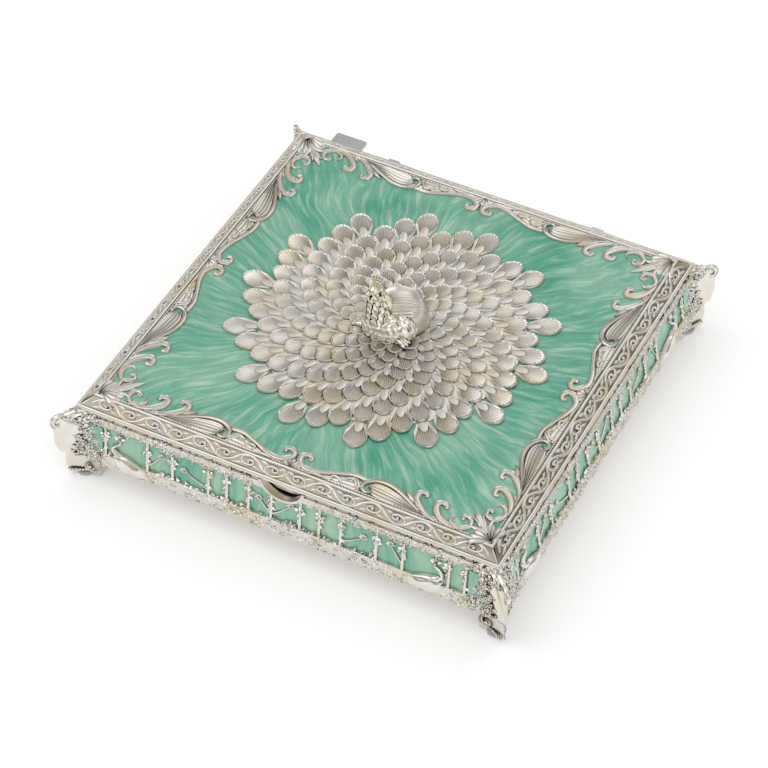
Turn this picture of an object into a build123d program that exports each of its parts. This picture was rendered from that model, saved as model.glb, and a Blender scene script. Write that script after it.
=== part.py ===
from build123d import *
import math
import os

# Silver plated wedding gift box with a hinged lid and mint enamel, in millimetres.
# Origin on the table under the middle of the box, +Z up, thumb notch towards -Y.

# Main sizes
LID_SIZE = 290.0
PAD_THICKNESS = 1.5
PAD_RADIUS = 6.0
PAD_SIDES = 20
PAD_INSET = 2.0
LEG_HEIGHT = 16.5
WALL_HEIGHT = 39.2
WALL_THICKNESS = 4.0
LID_GAP = 0.3

# Wall skin: straight at the top, a slope out to the belly, then a hem that turns in
BELLY_TURN = 8.4
BELLY_DROP = 28.7
BELLY = 2.8
HEM = 3.2
HEM_RISE = 2.0
HEM_ARCH = 96.0
HEM_DROP_WIDTH = 28.0

# Enamel panels and the bamboo poles that stand on them
PANEL_TOP_MARGIN = 6.5
PANEL_LOW_MARGIN = 10.5
RECESS_DEPTH = 1.4
ENAMEL_THICKNESS = 0.8
POLE_PROUD = 0.5
POLE_WIDTH = 1.9
POLE_SHARES = (-0.976, -0.74, -0.6, -0.4, -0.3, -0.178, -0.055, 0.102, 0.205, 0.32, 0.51, 0.65, 0.89, 0.976)
GARLAND_HEIGHT = 5.0
GARLAND_PROUD = 1.0
HEM_PROUD = 1.2

# Thumb notch in the front wall
NOTCH_WIDTH = 28.0
NOTCH_DEPTH = 11.0
NOTCH_LIP = 2.0
NOTCH_LIP_PROUD = 0.9

# Corner posts, in the corner's diagonal plane, from the lid's corner outwards
POST_BLOCK = 18.0
POST_DEPTH = 10.0
POST_HALF_WIDTH = 15.4
EDGE_WIDTH = 3.2
EAR_REACH = 17.5
EAR_DROP = 6.7
EAR_SHOULDER = 2.9
NECK_REACH = 15.2
KNEE_REACH = 16.3
FOOT_REACH = 11.0
TOE_REACH = 6.0
LEG_HALF_WIDTH = 8.2
TOE_HALF_WIDTH = 6.8

# Lid casting
BEAD_HEIGHT = 2.5
BEAD_WIDTH = 2.4
BAND_WIDTH = 8.4
BAND_RISE = 4.0
INNER_BEAD_RADIUS = 1.2
PANEL_THICKNESS = 2.0
LID_ENAMEL = 0.8
SKIRT_THICKNESS = 1.5
SKIRT_DEPTH = 9.0
SKIRT_CLEARANCE = 1.0

# Peacock feather rosette: arms that swirl, rings that overlap like roof tiles
ROSETTE_RADIUS = 107.0
ROSETTE_ARMS = 14
ROSETTE_RINGS = 12
RING_STEP = 7.2
RING_RISE = 0.3
RINGS_PER_PITCH = 3
FIRST_TIP_ANGLE = 104.0
FEATHER_WIDTH = 15.0
FEATHER_LENGTH = 25.0
FEATHER_RISE = 1.5
FEATHER_TAPER = 0.32
FEATHER_SHRINK = 0.3
TIP_SPREAD = 84.0
TIP_FLATS = 3
BED_SIDES = 42
BED_EDGE = 0.15
SEAT_RADIUS = 21.0
SEAT_SIDES = 24

# Rococo border on the lid
SCROLL_HEIGHT = 1.6
SCROLL_WIDTH = 3.6
SCROLL_INSET = 24.0
SCROLL_FLATS = 7

# Peacock figurine, heights above the rosette's top
TAIL_LENGTH = 38.0
TAIL_WIDTH = 34.0
TAIL_HEIGHT = 23.0
TAIL_RIBS = 16
HEAD_HEIGHT = 33.3
CREST_HEIGHT = 7.5
TOE_LENGTH = 7.0

# Hinges and the stop tab behind the lid's back edge
HINGE_INSET = 70.0
HINGE_SPACING = LID_SIZE - 2 * HINGE_INSET
LEAF_WIDTH = 24.0
LEAF_THICKNESS = 1.2
LEAF_LENGTH = 10.0
LID_LEAF_DEPTH = 5.0
KNUCKLE_RADIUS = 2.2
KNUCKLE_GAP = 0.3
PIN_RADIUS = 1.0
PIN_CLEARANCE = 0.05
PIN_DROP = 3.2
SEAT_GAP = 0.3
TAB_INSET = 33.5
TAB_WIDTH = 23.0
TAB_THICKNESS = 1.5
TAB_REACH = 11.5
BUFFER_RADIUS = 2.0
BUFFER_HEIGHT = 1.2

# Floor, linings and fasteners
FLOOR_THICKNESS = 1.5
FLOOR_RISE = 1.0
LINING_THICKNESS = 1.2
LINING_GAP = 0.3
LUG_THICKNESS = 3.0
LUG_REACH = 16.0
SCREW_RADIUS = 1.5
SCREW_CLEARANCE = 0.1
SCREW_HEAD_RADIUS = 3.2
SCREW_HEAD_HEIGHT = 1.6
SHANK_SIDES = 12

# Places that follow from the sizes
HALF = LID_SIZE / 2
INNER = HALF - WALL_THICKNESS
FOOT_BOTTOM = PAD_THICKNESS
WALL_BOTTOM = FOOT_BOTTOM + LEG_HEIGHT
WALL_TOP = WALL_BOTTOM + WALL_HEIGHT
LID_BOTTOM = WALL_TOP + LID_GAP
RIM_TOP = LID_BOTTOM + BEAD_HEIGHT
FIELD_TOP = RIM_TOP + BAND_RISE
CASTING_TOP = FIELD_TOP - LID_ENAMEL
PANEL_BOTTOM = CASTING_TOP - PANEL_THICKNESS
FRAME_INNER = HALF - BAND_WIDTH - 2 * INNER_BEAD_RADIUS
ROSETTE_TOP = FIELD_TOP + (ROSETTE_RINGS - 1) * RING_RISE + FEATHER_RISE
BLOCK_EDGE = HALF - POST_BLOCK
TAB_CENTRE = TAB_INSET - HALF
BAND_LOW = WALL_BOTTOM + PANEL_LOW_MARGIN
BAND_HIGH = WALL_TOP - PANEL_TOP_MARGIN
SCROLL_LINE = SCROLL_INSET - HALF
SKIRT_OUTER = INNER - SKIRT_CLEARANCE
SKIRT_INNER = SKIRT_OUTER - SKIRT_THICKNESS
PIN_Y = HALF + KNUCKLE_RADIUS + SEAT_GAP
PIN_Z = WALL_TOP - PIN_DROP
FLOOR_BOTTOM = WALL_BOTTOM + FLOOR_RISE
FLOOR_TOP = FLOOR_BOTTOM + FLOOR_THICKNESS
SIDES = {"front": 0, "right": 90, "back": 180, "left": 270}
CORNERS = {"front_right": 0, "back_right": 90, "back_left": 180, "front_left": 270}


def slab(x0, x1, y0, y1, z0, z1):
    """Box between two corners."""
    size = Box(x1 - x0, y1 - y0, z1 - z0)
    return Pos((x0 + x1) / 2, (y0 + y1) / 2, (z0 + z1) / 2) * size


def rod(radius, height, x, y, z, turn=(0, 0, 0)):
    """Cylinder that starts at a point and runs along its turned axis."""
    align = (Align.CENTER, Align.CENTER, Align.MIN)
    return Pos(x, y, z) * Rot(*turn) * Cylinder(radius, height, align=align)


def wall_section(proud=0.0):
    """Cross-section of the front wall, its outer skin moved out by proud."""
    skin = -(HALF + proud)
    turn = (skin, WALL_TOP - BELLY_TURN)
    belly = Line(turn, (skin - BELLY, WALL_TOP - BELLY_DROP))
    hem = TangentArc(belly @ 1, (skin - HEM, WALL_BOTTOM), tangent=belly % 1)
    corners = [hem @ 1, (-INNER, WALL_BOTTOM), (-INNER, WALL_TOP), (skin, WALL_TOP), turn]
    straight = [Line(a, b) for a, b in zip(corners, corners[1:])]
    return make_face([belly, hem] + straight)


def wall_layer(inside, outside, low, high, start, end):
    """Layer of the wall between two skins and two heights, from start to end along X."""
    window = Pos(-LID_SIZE / 2, (low + high) / 2) * Rectangle(LID_SIZE, high - low)
    ring = (wall_section(outside) - wall_section(inside)) & window
    return Pos(start, 0, 0) * extrude(Plane.YZ * ring, end - start)


def pole_places():
    """X of the bamboo poles, spaced as in a grove."""
    return [share * BLOCK_EDGE for share in POLE_SHARES]


def notch_shape(extra, depth):
    """Round cutter of the thumb notch, grown by extra."""
    half = NOTCH_WIDTH / 2
    radius = (half ** 2 + NOTCH_DEPTH ** 2) / (2 * NOTCH_DEPTH)
    centre = WALL_TOP - NOTCH_DEPTH + radius
    return rod(radius + extra, depth, 0, -HALF - depth / 2, centre, (-90, 0, 0))


def pocket(centre, width, thickness):
    """Cutter for a plate under the lid that crosses the back wall's top."""
    half = width / 2 + SEAT_GAP
    return slab(centre - half, centre + half, INNER - 1, HALF + BELLY + HEM,
                LID_BOTTOM - thickness - SEAT_GAP, LID_BOTTOM)


def hinge_places():
    return [-HINGE_SPACING / 2, HINGE_SPACING / 2]


def hinge_boss(x):
    """Flat land on the back wall that carries a hinge leaf."""
    half = LEAF_WIDTH / 2 + SEAT_GAP
    return slab(x - half, x + half, INNER, HALF, PIN_Z - LEAF_LENGTH - SEAT_GAP, BAND_HIGH)


def hinge_room(x):
    """Space outside the back wall that rails and poles leave free for a hinge."""
    half = LEAF_WIDTH / 2 + SEAT_GAP
    return slab(x - half, x + half, HALF, HALF + BELLY + HEM, PIN_Z - LEAF_LENGTH - SEAT_GAP, WALL_TOP)


def hem_arches():
    """Two long shallow arches under the wall, with a small drop between them."""
    radius = (HEM_ARCH ** 2 / 4 + HEM_RISE ** 2) / (2 * HEM_RISE)
    middle = HEM_DROP_WIDTH / 2 + HEM_ARCH / 2
    depth = 2 * WALL_THICKNESS + 4 * HEM
    low = WALL_BOTTOM + HEM_RISE - radius
    return [rod(radius, depth, x, -HALF - depth / 2, low, (-90, 0, 0)) for x in (-middle, middle)]


def make_wall(side):
    """Cast wall: recess for the enamel, bamboo poles, raised garland, flower band and a wavy hem."""
    length = 2 * BLOCK_EDGE
    wall = extrude(Plane.YZ * wall_section(), BLOCK_EDGE, both=True)
    wall -= wall_layer(-RECESS_DEPTH, 0, BAND_LOW, BAND_HIGH, -length / 2, length / 2)
    skin = ENAMEL_THICKNESS - RECESS_DEPTH
    for x in pole_places():
        wall += wall_layer(skin, POLE_PROUD, BAND_LOW - 1, BAND_HIGH + 1,
                           x - POLE_WIDTH / 2, x + POLE_WIDTH / 2)
    for proud, low, high in ((GARLAND_PROUD, BAND_HIGH, BAND_HIGH + GARLAND_HEIGHT),
                             (HEM_PROUD, WALL_BOTTOM, BAND_LOW)):
        wall += wall_layer(-POLE_PROUD, proud, low, high, -length / 2, length / 2)
    for arch in hem_arches():
        wall -= arch
    if side == "front":
        lip = notch_shape(NOTCH_LIP, 2 * NOTCH_LIP_PROUD) & slab(
            -HALF, HALF, -HALF - NOTCH_LIP_PROUD, -HALF, 0, WALL_TOP)
        wall -= notch_shape(NOTCH_LIP, 2 * GARLAND_PROUD + 2 * RECESS_DEPTH)
        back = notch_shape(NOTCH_LIP, 4 * WALL_THICKNESS) & slab(
            -HALF, HALF, -HALF, -INNER, 0, WALL_TOP)
        wall += lip + back
        wall -= notch_shape(0, 8 * WALL_THICKNESS)
    wall = Rot(0, 0, SIDES[side]) * wall
    if side == "back":
        for x in hinge_places():
            wall -= hinge_room(x)
            wall += hinge_boss(x)
            wall -= pocket(x, LEAF_WIDTH, LEAF_THICKNESS)
        wall -= pocket(TAB_CENTRE, TAB_WIDTH, TAB_THICKNESS)
    return wall


def make_wall_enamel(side):
    """Enamel that fills a wall's recess up to just under the rails."""
    panel = wall_layer(-RECESS_DEPTH, ENAMEL_THICKNESS - RECESS_DEPTH, BAND_LOW, BAND_HIGH,
                       -BLOCK_EDGE, BLOCK_EDGE)
    if side == "front":
        panel -= notch_shape(NOTCH_LIP, 4 * WALL_THICKNESS)
    panel = Rot(0, 0, SIDES[side]) * panel
    if side == "back":
        for x in hinge_places():
            panel -= hinge_boss(x) + hinge_room(x)
    return panel


def post_levels():
    """Level sections of a corner post: height, reach of its outer edge on the diagonal, half width."""
    ear = WALL_TOP - EAR_DROP
    wide = POST_HALF_WIDTH
    leg = LEG_HALF_WIDTH
    return [
        (FOOT_BOTTOM, TOE_REACH, TOE_HALF_WIDTH),
        (FOOT_BOTTOM + 0.22 * LEG_HEIGHT, FOOT_REACH - 1.5, TOE_HALF_WIDTH + 2.4),
        (FOOT_BOTTOM + 0.6 * LEG_HEIGHT, FOOT_REACH, leg),
        (WALL_BOTTOM, FOOT_REACH - 1.2, leg),
        (WALL_BOTTOM + 0.15 * WALL_HEIGHT, KNEE_REACH - 1.8, wide),
        (WALL_BOTTOM + 0.33 * WALL_HEIGHT, KNEE_REACH, wide),
        (WALL_BOTTOM + 0.54 * WALL_HEIGHT, NECK_REACH, 0.95 * wide),
        (ear - 5, EAR_REACH - 0.5, 0.88 * wide),
        (ear, EAR_REACH, 0.84 * wide),
        (ear + EAR_SHOULDER, EAR_REACH - 3, 0.82 * wide),
    ]


def flared(z, reach, half):
    """Level section on the diagonal: wide inside, then drawn in to a narrow edge."""
    edge = EDGE_WIDTH / 2
    waist = 0.36 * half
    return [(-POST_DEPTH, -half, z), (2, -waist, z), (reach, -edge, z), (reach, edge, z), (2, waist, z),
            (-POST_DEPTH, half, z)]


def oval(x, y, z, wide, deep, sides):
    """Level ring of points round an oval."""
    turns = [2 * math.pi * i / sides for i in range(sides)]
    return [(x + wide * math.cos(a), y + deep * math.sin(a), z) for a in turns]


def stack(rings):
    """Faceted solid through level rings of points, from the lowest up."""
    faces = [Face(Wire.make_polygon(ring, close=True)) for ring in (rings[0], rings[-1])]
    for lower, upper in zip(rings, rings[1:]):
        for i in range(len(lower)):
            for corners in ([lower[i - 1], lower[i], upper[i]], [lower[i - 1], upper[i], upper[i - 1]]):
                faces.append(Face(Wire.make_polygon(corners, close=True)))
    return Solid(Shell(faces))


def make_post(corner):
    """Corner post with its ear, leg and foot, the corner block and the floor lug."""
    bracket = stack([flared(*level) for level in post_levels()])
    post = Pos(HALF, -HALF, 0) * Rot(0, 0, -45) * bracket
    post += slab(BLOCK_EDGE, HALF, -HALF, -BLOCK_EDGE, WALL_BOTTOM, WALL_TOP)
    lug_edge = BLOCK_EDGE - LUG_REACH
    post += slab(lug_edge, INNER, -INNER, -lug_edge, FLOOR_BOTTOM - LUG_THICKNESS, FLOOR_BOTTOM)
    post -= slab(-BLOCK_EDGE, BLOCK_EDGE, -HALF - EAR_REACH, -INNER, 0, RIM_TOP)
    post -= slab(INNER, HALF + EAR_REACH, -BLOCK_EDGE, BLOCK_EDGE, 0, RIM_TOP)
    x, y = screw_place()
    post -= shank(SCREW_CLEARANCE, 2 * LUG_THICKNESS, x, y, FLOOR_BOTTOM - 2 * LUG_THICKNESS)
    return Rot(0, 0, CORNERS[corner]) * post


def screw_place():
    """Middle of the front right lug."""
    offset = BLOCK_EDGE - LUG_REACH / 2
    return offset, -offset


def four_corners(piece):
    return [Rot(0, 0, turn) * piece for turn in CORNERS.values()]


def shank(clearance, height, x, y, z):
    """Screw shank or its hole, with few flats."""
    outline = RegularPolygon(SCREW_RADIUS + clearance, SHANK_SIDES, major_radius=False)
    return Pos(x, y, z) * extrude(outline, height)


def make_floor():
    """Floor plate between the walls, notched round the corner posts."""
    plate = slab(-INNER, INNER, -INNER, INNER, FLOOR_BOTTOM, FLOOR_TOP)
    x, y = screw_place()
    hole = shank(SCREW_CLEARANCE, RIM_TOP, x, y, 0)
    notch = slab(BLOCK_EDGE, HALF, -HALF, -BLOCK_EDGE, 0, RIM_TOP)
    for cut in four_corners(hole) + four_corners(notch):
        plate -= cut
    return plate


def make_floor_lining():
    """Fabric covered card on the floor."""
    edge = INNER - LINING_GAP
    pad = slab(-edge, edge, -edge, edge, FLOOR_TOP, FLOOR_TOP + LINING_THICKNESS)
    inside = BLOCK_EDGE - LINING_GAP
    for cut in four_corners(slab(inside, HALF, -HALF, -inside, 0, RIM_TOP)):
        pad -= cut
    return pad


def screw_head(x, y, low):
    """Hexagonal screw head from low upwards."""
    return Pos(x, y, low) * extrude(RegularPolygon(SCREW_HEAD_RADIUS, 6), SCREW_HEAD_HEIGHT)


def make_floor_screws():
    """Four screws up through the lugs into the floor plate."""
    x, y = screw_place()
    under = FLOOR_BOTTOM - LUG_THICKNESS
    screw = shank(0, LUG_THICKNESS + FLOOR_THICKNESS, x, y, under)
    screw += screw_head(x, y, under - SCREW_HEAD_HEIGHT)
    return four_corners(screw)


def make_foot_pads():
    """Clear stick-on bumpers under the feet."""
    inset = PAD_INSET / math.sqrt(2)
    pad = extrude(RegularPolygon(PAD_RADIUS, PAD_SIDES), PAD_THICKNESS)
    return four_corners(Pos(HALF - inset, inset - HALF, 0) * pad)


def frame_section():
    """Cross-section of the lid's front border: edge bead, sloping band, inner bead and ledge."""
    foot_y = BEAD_WIDTH - HALF
    bead = ThreePointArc((-HALF, LID_BOTTOM + 1), (foot_y - BEAD_WIDTH / 2, RIM_TOP),
                         (foot_y, RIM_TOP - 0.6))
    start = BAND_WIDTH - HALF
    end = start + 2 * INNER_BEAD_RADIUS
    roll = ThreePointArc((start, FIELD_TOP - 0.4), ((start + end) / 2, FIELD_TOP + INNER_BEAD_RADIUS),
                         (end, FIELD_TOP))
    path = [roll @ 1, (end, PANEL_BOTTOM), (end, LID_BOTTOM), (-HALF, LID_BOTTOM), bead @ 0]
    lines = [Line(a, b) for a, b in zip(path, path[1:])]
    return make_face([bead, Line(bead @ 1, roll @ 0), roll] + lines)


def make_lid_frame():
    """Lid casting: four mitred border lengths round a recessed panel."""
    length = extrude(Plane.YZ * frame_section(), HALF, both=True)
    mitre = extrude(make_face(Polyline((0, 0), (-LID_SIZE, -LID_SIZE), (LID_SIZE, -LID_SIZE), close=True)),
                    2 * FIELD_TOP)
    side = length & mitre
    lid = slab(-FRAME_INNER, FRAME_INNER, -FRAME_INNER, FRAME_INNER, PANEL_BOTTOM, CASTING_TOP)
    for turn in SIDES.values():
        lid += Rot(0, 0, turn) * side
    lid -= shank(SCREW_CLEARANCE, RIM_TOP, 0, 0, PANEL_BOTTOM - 1)
    return lid


def make_lid_skirt():
    """Flange inside the walls that locates the closed lid."""
    low = LID_BOTTOM - SKIRT_DEPTH
    skirt = slab(-SKIRT_OUTER, SKIRT_OUTER, -SKIRT_OUTER, SKIRT_OUTER, low, LID_BOTTOM)
    skirt -= slab(-SKIRT_INNER, SKIRT_INNER, -SKIRT_INNER, SKIRT_INNER, low - 1, LID_BOTTOM + 1)
    edge = BLOCK_EDGE - SKIRT_CLEARANCE
    for cut in four_corners(slab(edge, HALF, -HALF, -edge, 0, RIM_TOP)):
        skirt -= cut
    return list(skirt.solids())


def make_lid_enamel():
    """Enamel field inside the border."""
    field = slab(-FRAME_INNER, FRAME_INNER, -FRAME_INNER, FRAME_INNER, CASTING_TOP, FIELD_TOP)
    return field - shank(SCREW_CLEARANCE, RIM_TOP, 0, 0, PANEL_BOTTOM)


def feather(reach, width, length, level):
    """One peacock feather: rounded by a few flats at its tip and sloping down to its narrow root."""
    half = width / 2
    turns = [math.radians(TIP_SPREAD * (2 * i / TIP_FLATS - 1)) for i in range(TIP_FLATS + 1)]
    tip = [(reach - half + half * math.cos(a), half * math.sin(a)) for a in turns]
    root = (reach - length, width * FEATHER_TAPER)
    outline = make_face(Polyline(*tip, root, (root[0], -root[1]), close=True))
    top = level + FEATHER_RISE
    slope = Plane((reach, 0, top), x_dir=(0, 1, 0), z_dir=(-FEATHER_RISE / length, 0, 1))
    return split(extrude(outline, 2 * top), bisect_by=slope, keep=Keep.BOTTOM)


def rosette_bed():
    """Low cone under the feathers, which shows between their tips."""
    radius = ROSETTE_RADIUS - 3 * RING_STEP
    rise = (ROSETTE_RINGS - 3) * RING_RISE
    rings = [(0, radius), (BED_EDGE, radius), (BED_EDGE + rise, radius - (ROSETTE_RINGS - 3) * RING_STEP)]
    return stack([oval(0, 0, z, r, r, BED_SIDES) for z, r in rings])


def make_rosette():
    """Overlapping rings of feathers, each turned on by a third of an arm, round the peacock's seat."""
    pitch = 360 / ROSETTE_ARMS
    plumes = []
    for ring in range(ROSETTE_RINGS):
        share = 1 - FEATHER_SHRINK * ring / ROSETTE_RINGS
        plume = feather(ROSETTE_RADIUS - ring * RING_STEP, FEATHER_WIDTH * share, FEATHER_LENGTH * share,
                        ring * RING_RISE)
        start = FIRST_TIP_ANGLE + ring * pitch / RINGS_PER_PITCH
        plumes += [Rot(0, 0, start + arm * pitch) * plume for arm in range(ROSETTE_ARMS)]
    seat = extrude(RegularPolygon(SEAT_RADIUS, SEAT_SIDES), ROSETTE_TOP - FIELD_TOP)
    relief = rosette_bed() + plumes + seat - shank(SCREW_CLEARANCE, ROSETTE_TOP, 0, 0, -1)
    return Pos(0, 0, FIELD_TOP) * relief


def scroll(points, widths):
    """Cast scroll along a smooth line, in a few flats, its width running through the given shares."""
    spine = Spline(*[(x, SCROLL_LINE + y) for x, y in points])
    left, right = [], []
    for i in range(SCROLL_FLATS + 1):
        share = i / SCROLL_FLATS
        spot = share * (len(widths) - 1)
        k = min(int(spot), len(widths) - 2)
        half = SCROLL_WIDTH * (widths[k] + (widths[k + 1] - widths[k]) * (spot - k)) / 2
        centre = spine @ share
        across = (spine % share).rotate(Axis.Z, 90) * half
        left.append(centre + across)
        right.append(centre - across)
    return extrude(make_face(Polyline(*left, *reversed(right), close=True)), SCROLL_HEIGHT)


def half_side_scrolls():
    """Border scrolls on the left half of the front side: a hooked scroll, an arch over a leaf, two hooks."""
    corner = HALF - SCROLL_INSET
    return [
        scroll([(-44, -2), (-26, -6), (-8, -9), (-4, -2), (-9, -2)], [0.9, 0.9, 1.2, 0.8]),
        scroll([(-91, -10), (-68, -4), (-52, -2), (-47, -9), (-53, -9)], [0.6, 1.0, 1.1, 0.6]),
        scroll([(-86, -11), (-74, -9), (-58, -8)], [0.3, 1.4, 0.4]),
        scroll([(-96, -11.5), (-85, -7), (-79, 2), (-84, 2)], [0.6, 1.2, 0.9]),
        scroll([(-112, -8), (-102, -10), (-93, -3), (-97, 2)], [0.6, 1.2, 0.9]),
        scroll([(-corner - 4, 13), (-corner - 8, 9), (-corner - 5, 3), (-corner, 6)], [0.5, 1.1, 0.8]),
    ]


def make_border_scrolls():
    """Cast scrollwork that frames the enamel field, the same on each half of each side."""
    half = half_side_scrolls()
    corner = SCROLL_INSET + 4 - HALF
    palmette = Pos(corner, corner) * Rot(0, 0, 45) * extrude(RegularPolygon(9, 6), SCROLL_HEIGHT)
    pieces = []
    for turn in SIDES.values():
        for solid in half + [mirror(s, Plane.YZ) for s in half] + [palmette]:
            pieces.append(Pos(0, 0, FIELD_TOP) * Rot(0, 0, turn) * solid)
    return pieces


def make_peacock_body():
    """Folded tail as a ribbed dome with a hollow for the screw."""
    h = TAIL_HEIGHT
    rings = [(3, 3, 0, 0.9), (3, 3, h * 0.3, 1.0), (3, 4, h * 0.6, 0.87), (3, 5, h * 0.84, 0.6),
             (3, 5, h, 0.22)]
    body = stack([oval(x, y, ROSETTE_TOP + z, share * TAIL_WIDTH / 2, share * TAIL_LENGTH / 2, TAIL_RIBS)
                  for x, y, z, share in rings])
    return body - shank(SCREW_CLEARANCE, h / 2, 0, 0, ROSETTE_TOP - 1)


def make_peacock_neck():
    """Breast, neck and head with a beak, seated against the tail."""
    top = HEAD_HEIGHT
    rings = [(-1, -11, 0, 7.0), (-2, -12, top * 0.2, 10.0), (-4, -11, top * 0.42, 8.8),
             (-6, -9, top * 0.62, 5.4), (-7, -6, top * 0.82, 3.5), (-7, -7, top, 4.4),
             (-7, -7, top + 4, 2.3)]
    neck = stack([oval(x, y, ROSETTE_TOP + z, r, r, 10) for x, y, z, r in rings])
    beak = Pos(-7, -10, ROSETTE_TOP + top) * Rot(105, 0, 0) * extrude(RegularPolygon(1.8, 6), 7, taper=12)
    return neck + beak - make_peacock_body()


def make_peacock_crest():
    """Fan of five crest plumes on the head."""
    fan = make_face([Line((-1.2, 0), (-3, CREST_HEIGHT * 0.7)), Line((3, CREST_HEIGHT * 0.7), (1.2, 0)),
                     ThreePointArc((-3, CREST_HEIGHT * 0.7), (0, CREST_HEIGHT), (3, CREST_HEIGHT * 0.7)),
                     Line((1.2, 0), (-1.2, 0))])
    plate = extrude(Plane.XZ * fan, 0.6, both=True)
    return Pos(-7, -7, ROSETTE_TOP + HEAD_HEIGHT + 4) * plate


def make_peacock_feet():
    """Two small feet with three toes each, flat on the rosette."""
    toe = make_face(Polyline((-1.2, 0), (-0.5, -TOE_LENGTH), (0.5, -TOE_LENGTH), (1.2, 0), close=True))
    toes = RegularPolygon(1.8, 6) + [Rot(0, 0, turn) * toe for turn in (-35, 0, 35)]
    foot_plate = extrude(toes, 1.2)
    place = ROSETTE_TOP
    places = ((-14, -12, -70), (13, -14, 70))
    return [Pos(x, y, place) * Rot(0, 0, turn) * foot_plate for x, y, turn in places]


def make_peacock_screw():
    """Screw from under the lid that holds the rosette and the peacock."""
    screw = shank(0, TAIL_HEIGHT / 3 + ROSETTE_TOP - PANEL_BOTTOM, 0, 0, PANEL_BOTTOM)
    return screw + screw_head(0, 0, PANEL_BOTTOM - SCREW_HEAD_HEIGHT)


def make_lid_lining():
    """Fabric covered card under the lid, with a hole for the screw's head."""
    edge = min(FRAME_INNER, SKIRT_INNER) - LINING_GAP
    pad = slab(-edge, edge, -edge, edge, PANEL_BOTTOM - LINING_THICKNESS, PANEL_BOTTOM)
    return pad - rod(SCREW_HEAD_RADIUS + LINING_GAP, FIELD_TOP, 0, 0, 0)


def knuckle(x, start, end):
    """Length of hinge knuckle with its bore."""
    tube_body = rod(KNUCKLE_RADIUS, end - start, x + start, PIN_Y, PIN_Z, (0, 90, 0))
    return tube_body


def pin_bore(x):
    return rod(PIN_RADIUS + PIN_CLEARANCE, 2 * LEAF_WIDTH, x - LEAF_WIDTH, PIN_Y, PIN_Z, (0, 90, 0))


def make_base_leaf(x):
    """Hinge leaf on the back wall, with the two outer knuckles."""
    half = LEAF_WIDTH / 2
    third = LEAF_WIDTH / 6
    plate = slab(x - half, x + half, HALF, HALF + LEAF_THICKNESS, PIN_Z - LEAF_LENGTH, PIN_Z)
    for start, end in ((-half, -third - KNUCKLE_GAP), (third + KNUCKLE_GAP, half)):
        plate += slab(x + start, x + end, HALF, PIN_Y, PIN_Z - LEAF_THICKNESS, PIN_Z)
        plate += knuckle(x, start, end)
    plate -= slab(x - third - KNUCKLE_GAP, x + third + KNUCKLE_GAP, HALF - 1, PIN_Y + KNUCKLE_RADIUS,
                  PIN_Z - KNUCKLE_RADIUS - SEAT_GAP, LID_BOTTOM)
    return plate - pin_bore(x)


def make_lid_leaf(x):
    """Hinge leaf under the lid's back border, with the middle knuckle."""
    half = LEAF_WIDTH / 2
    third = LEAF_WIDTH / 6
    low = LID_BOTTOM - LEAF_THICKNESS
    inside = HALF - LID_LEAF_DEPTH
    plate = slab(x - half, x + half, inside, HALF, low, LID_BOTTOM)
    plate += slab(x - third, x + third, inside, PIN_Y + KNUCKLE_RADIUS / 2, low, LID_BOTTOM)
    plate += slab(x - third, x + third, PIN_Y - KNUCKLE_RADIUS / 2, PIN_Y + KNUCKLE_RADIUS / 2, PIN_Z, low)
    plate += knuckle(x, -third, third)
    return plate - pin_bore(x)


def make_hinge_pin(x):
    length = LEAF_WIDTH
    return rod(PIN_RADIUS, length, x - length / 2, PIN_Y, PIN_Z, (0, 90, 0))


def make_stop_tab():
    """Flat tab under the lid's back border that meets the back wall when the lid is fully open."""
    low = LID_BOTTOM - TAB_THICKNESS
    half = TAB_WIDTH / 2
    tab = slab(TAB_CENTRE - half, TAB_CENTRE + half, HALF - LID_LEAF_DEPTH, HALF + TAB_REACH,
               low, LID_BOTTOM)
    corners = tab.edges().filter_by(Axis.Z).group_by(Axis.Y)[-1]
    return fillet(corners, TAB_THICKNESS)


def make_stop_buffer():
    """Rubber button under the tab's right end."""
    x = TAB_CENTRE + TAB_WIDTH / 2 - 2 * BUFFER_RADIUS / 2 - 0.5
    y = HALF + TAB_REACH - BUFFER_RADIUS - 0.5
    return rod(BUFFER_RADIUS, BUFFER_HEIGHT, x, y, LID_BOTTOM - TAB_THICKNESS - BUFFER_HEIGHT)


def build():
    """Every node by name, each with its solids."""
    nodes = {}
    for side in SIDES:
        nodes["wall_" + side] = make_wall(side)
        nodes["wall_enamel_" + side] = make_wall_enamel(side)
    for corner in CORNERS:
        nodes["corner_post_" + corner] = make_post(corner)
    nodes["floor_plate"] = make_floor()
    nodes["floor_lining"] = make_floor_lining()
    nodes["floor_screws"] = make_floor_screws()
    nodes["foot_pads"] = make_foot_pads()
    nodes["lid_frame"] = make_lid_frame()
    nodes["lid_skirt"] = make_lid_skirt()
    nodes["lid_enamel"] = make_lid_enamel()
    nodes["lid_border_scrolls"] = make_border_scrolls()
    nodes["feather_rosette"] = make_rosette()
    nodes["peacock_tail"] = make_peacock_body()
    nodes["peacock_neck_head"] = make_peacock_neck()
    nodes["peacock_crest"] = make_peacock_crest()
    nodes["peacock_feet"] = make_peacock_feet()
    nodes["peacock_screw"] = make_peacock_screw()
    nodes["lid_lining"] = make_lid_lining()
    for name, x in zip(("left", "right"), hinge_places()):
        nodes["hinge_leaf_base_" + name] = make_base_leaf(x)
        nodes["hinge_leaf_lid_" + name] = make_lid_leaf(x)
        nodes["hinge_pin_" + name] = make_hinge_pin(x)
    nodes["stop_tab"] = make_stop_tab()
    nodes["stop_buffer"] = make_stop_buffer()
    return nodes


def solids_of(made):
    """All solids of a node, from one shape or a list of them."""
    shapes = made if isinstance(made, list) else [made]
    return [solid for shape in shapes for solid in shape.solids()]


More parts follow.
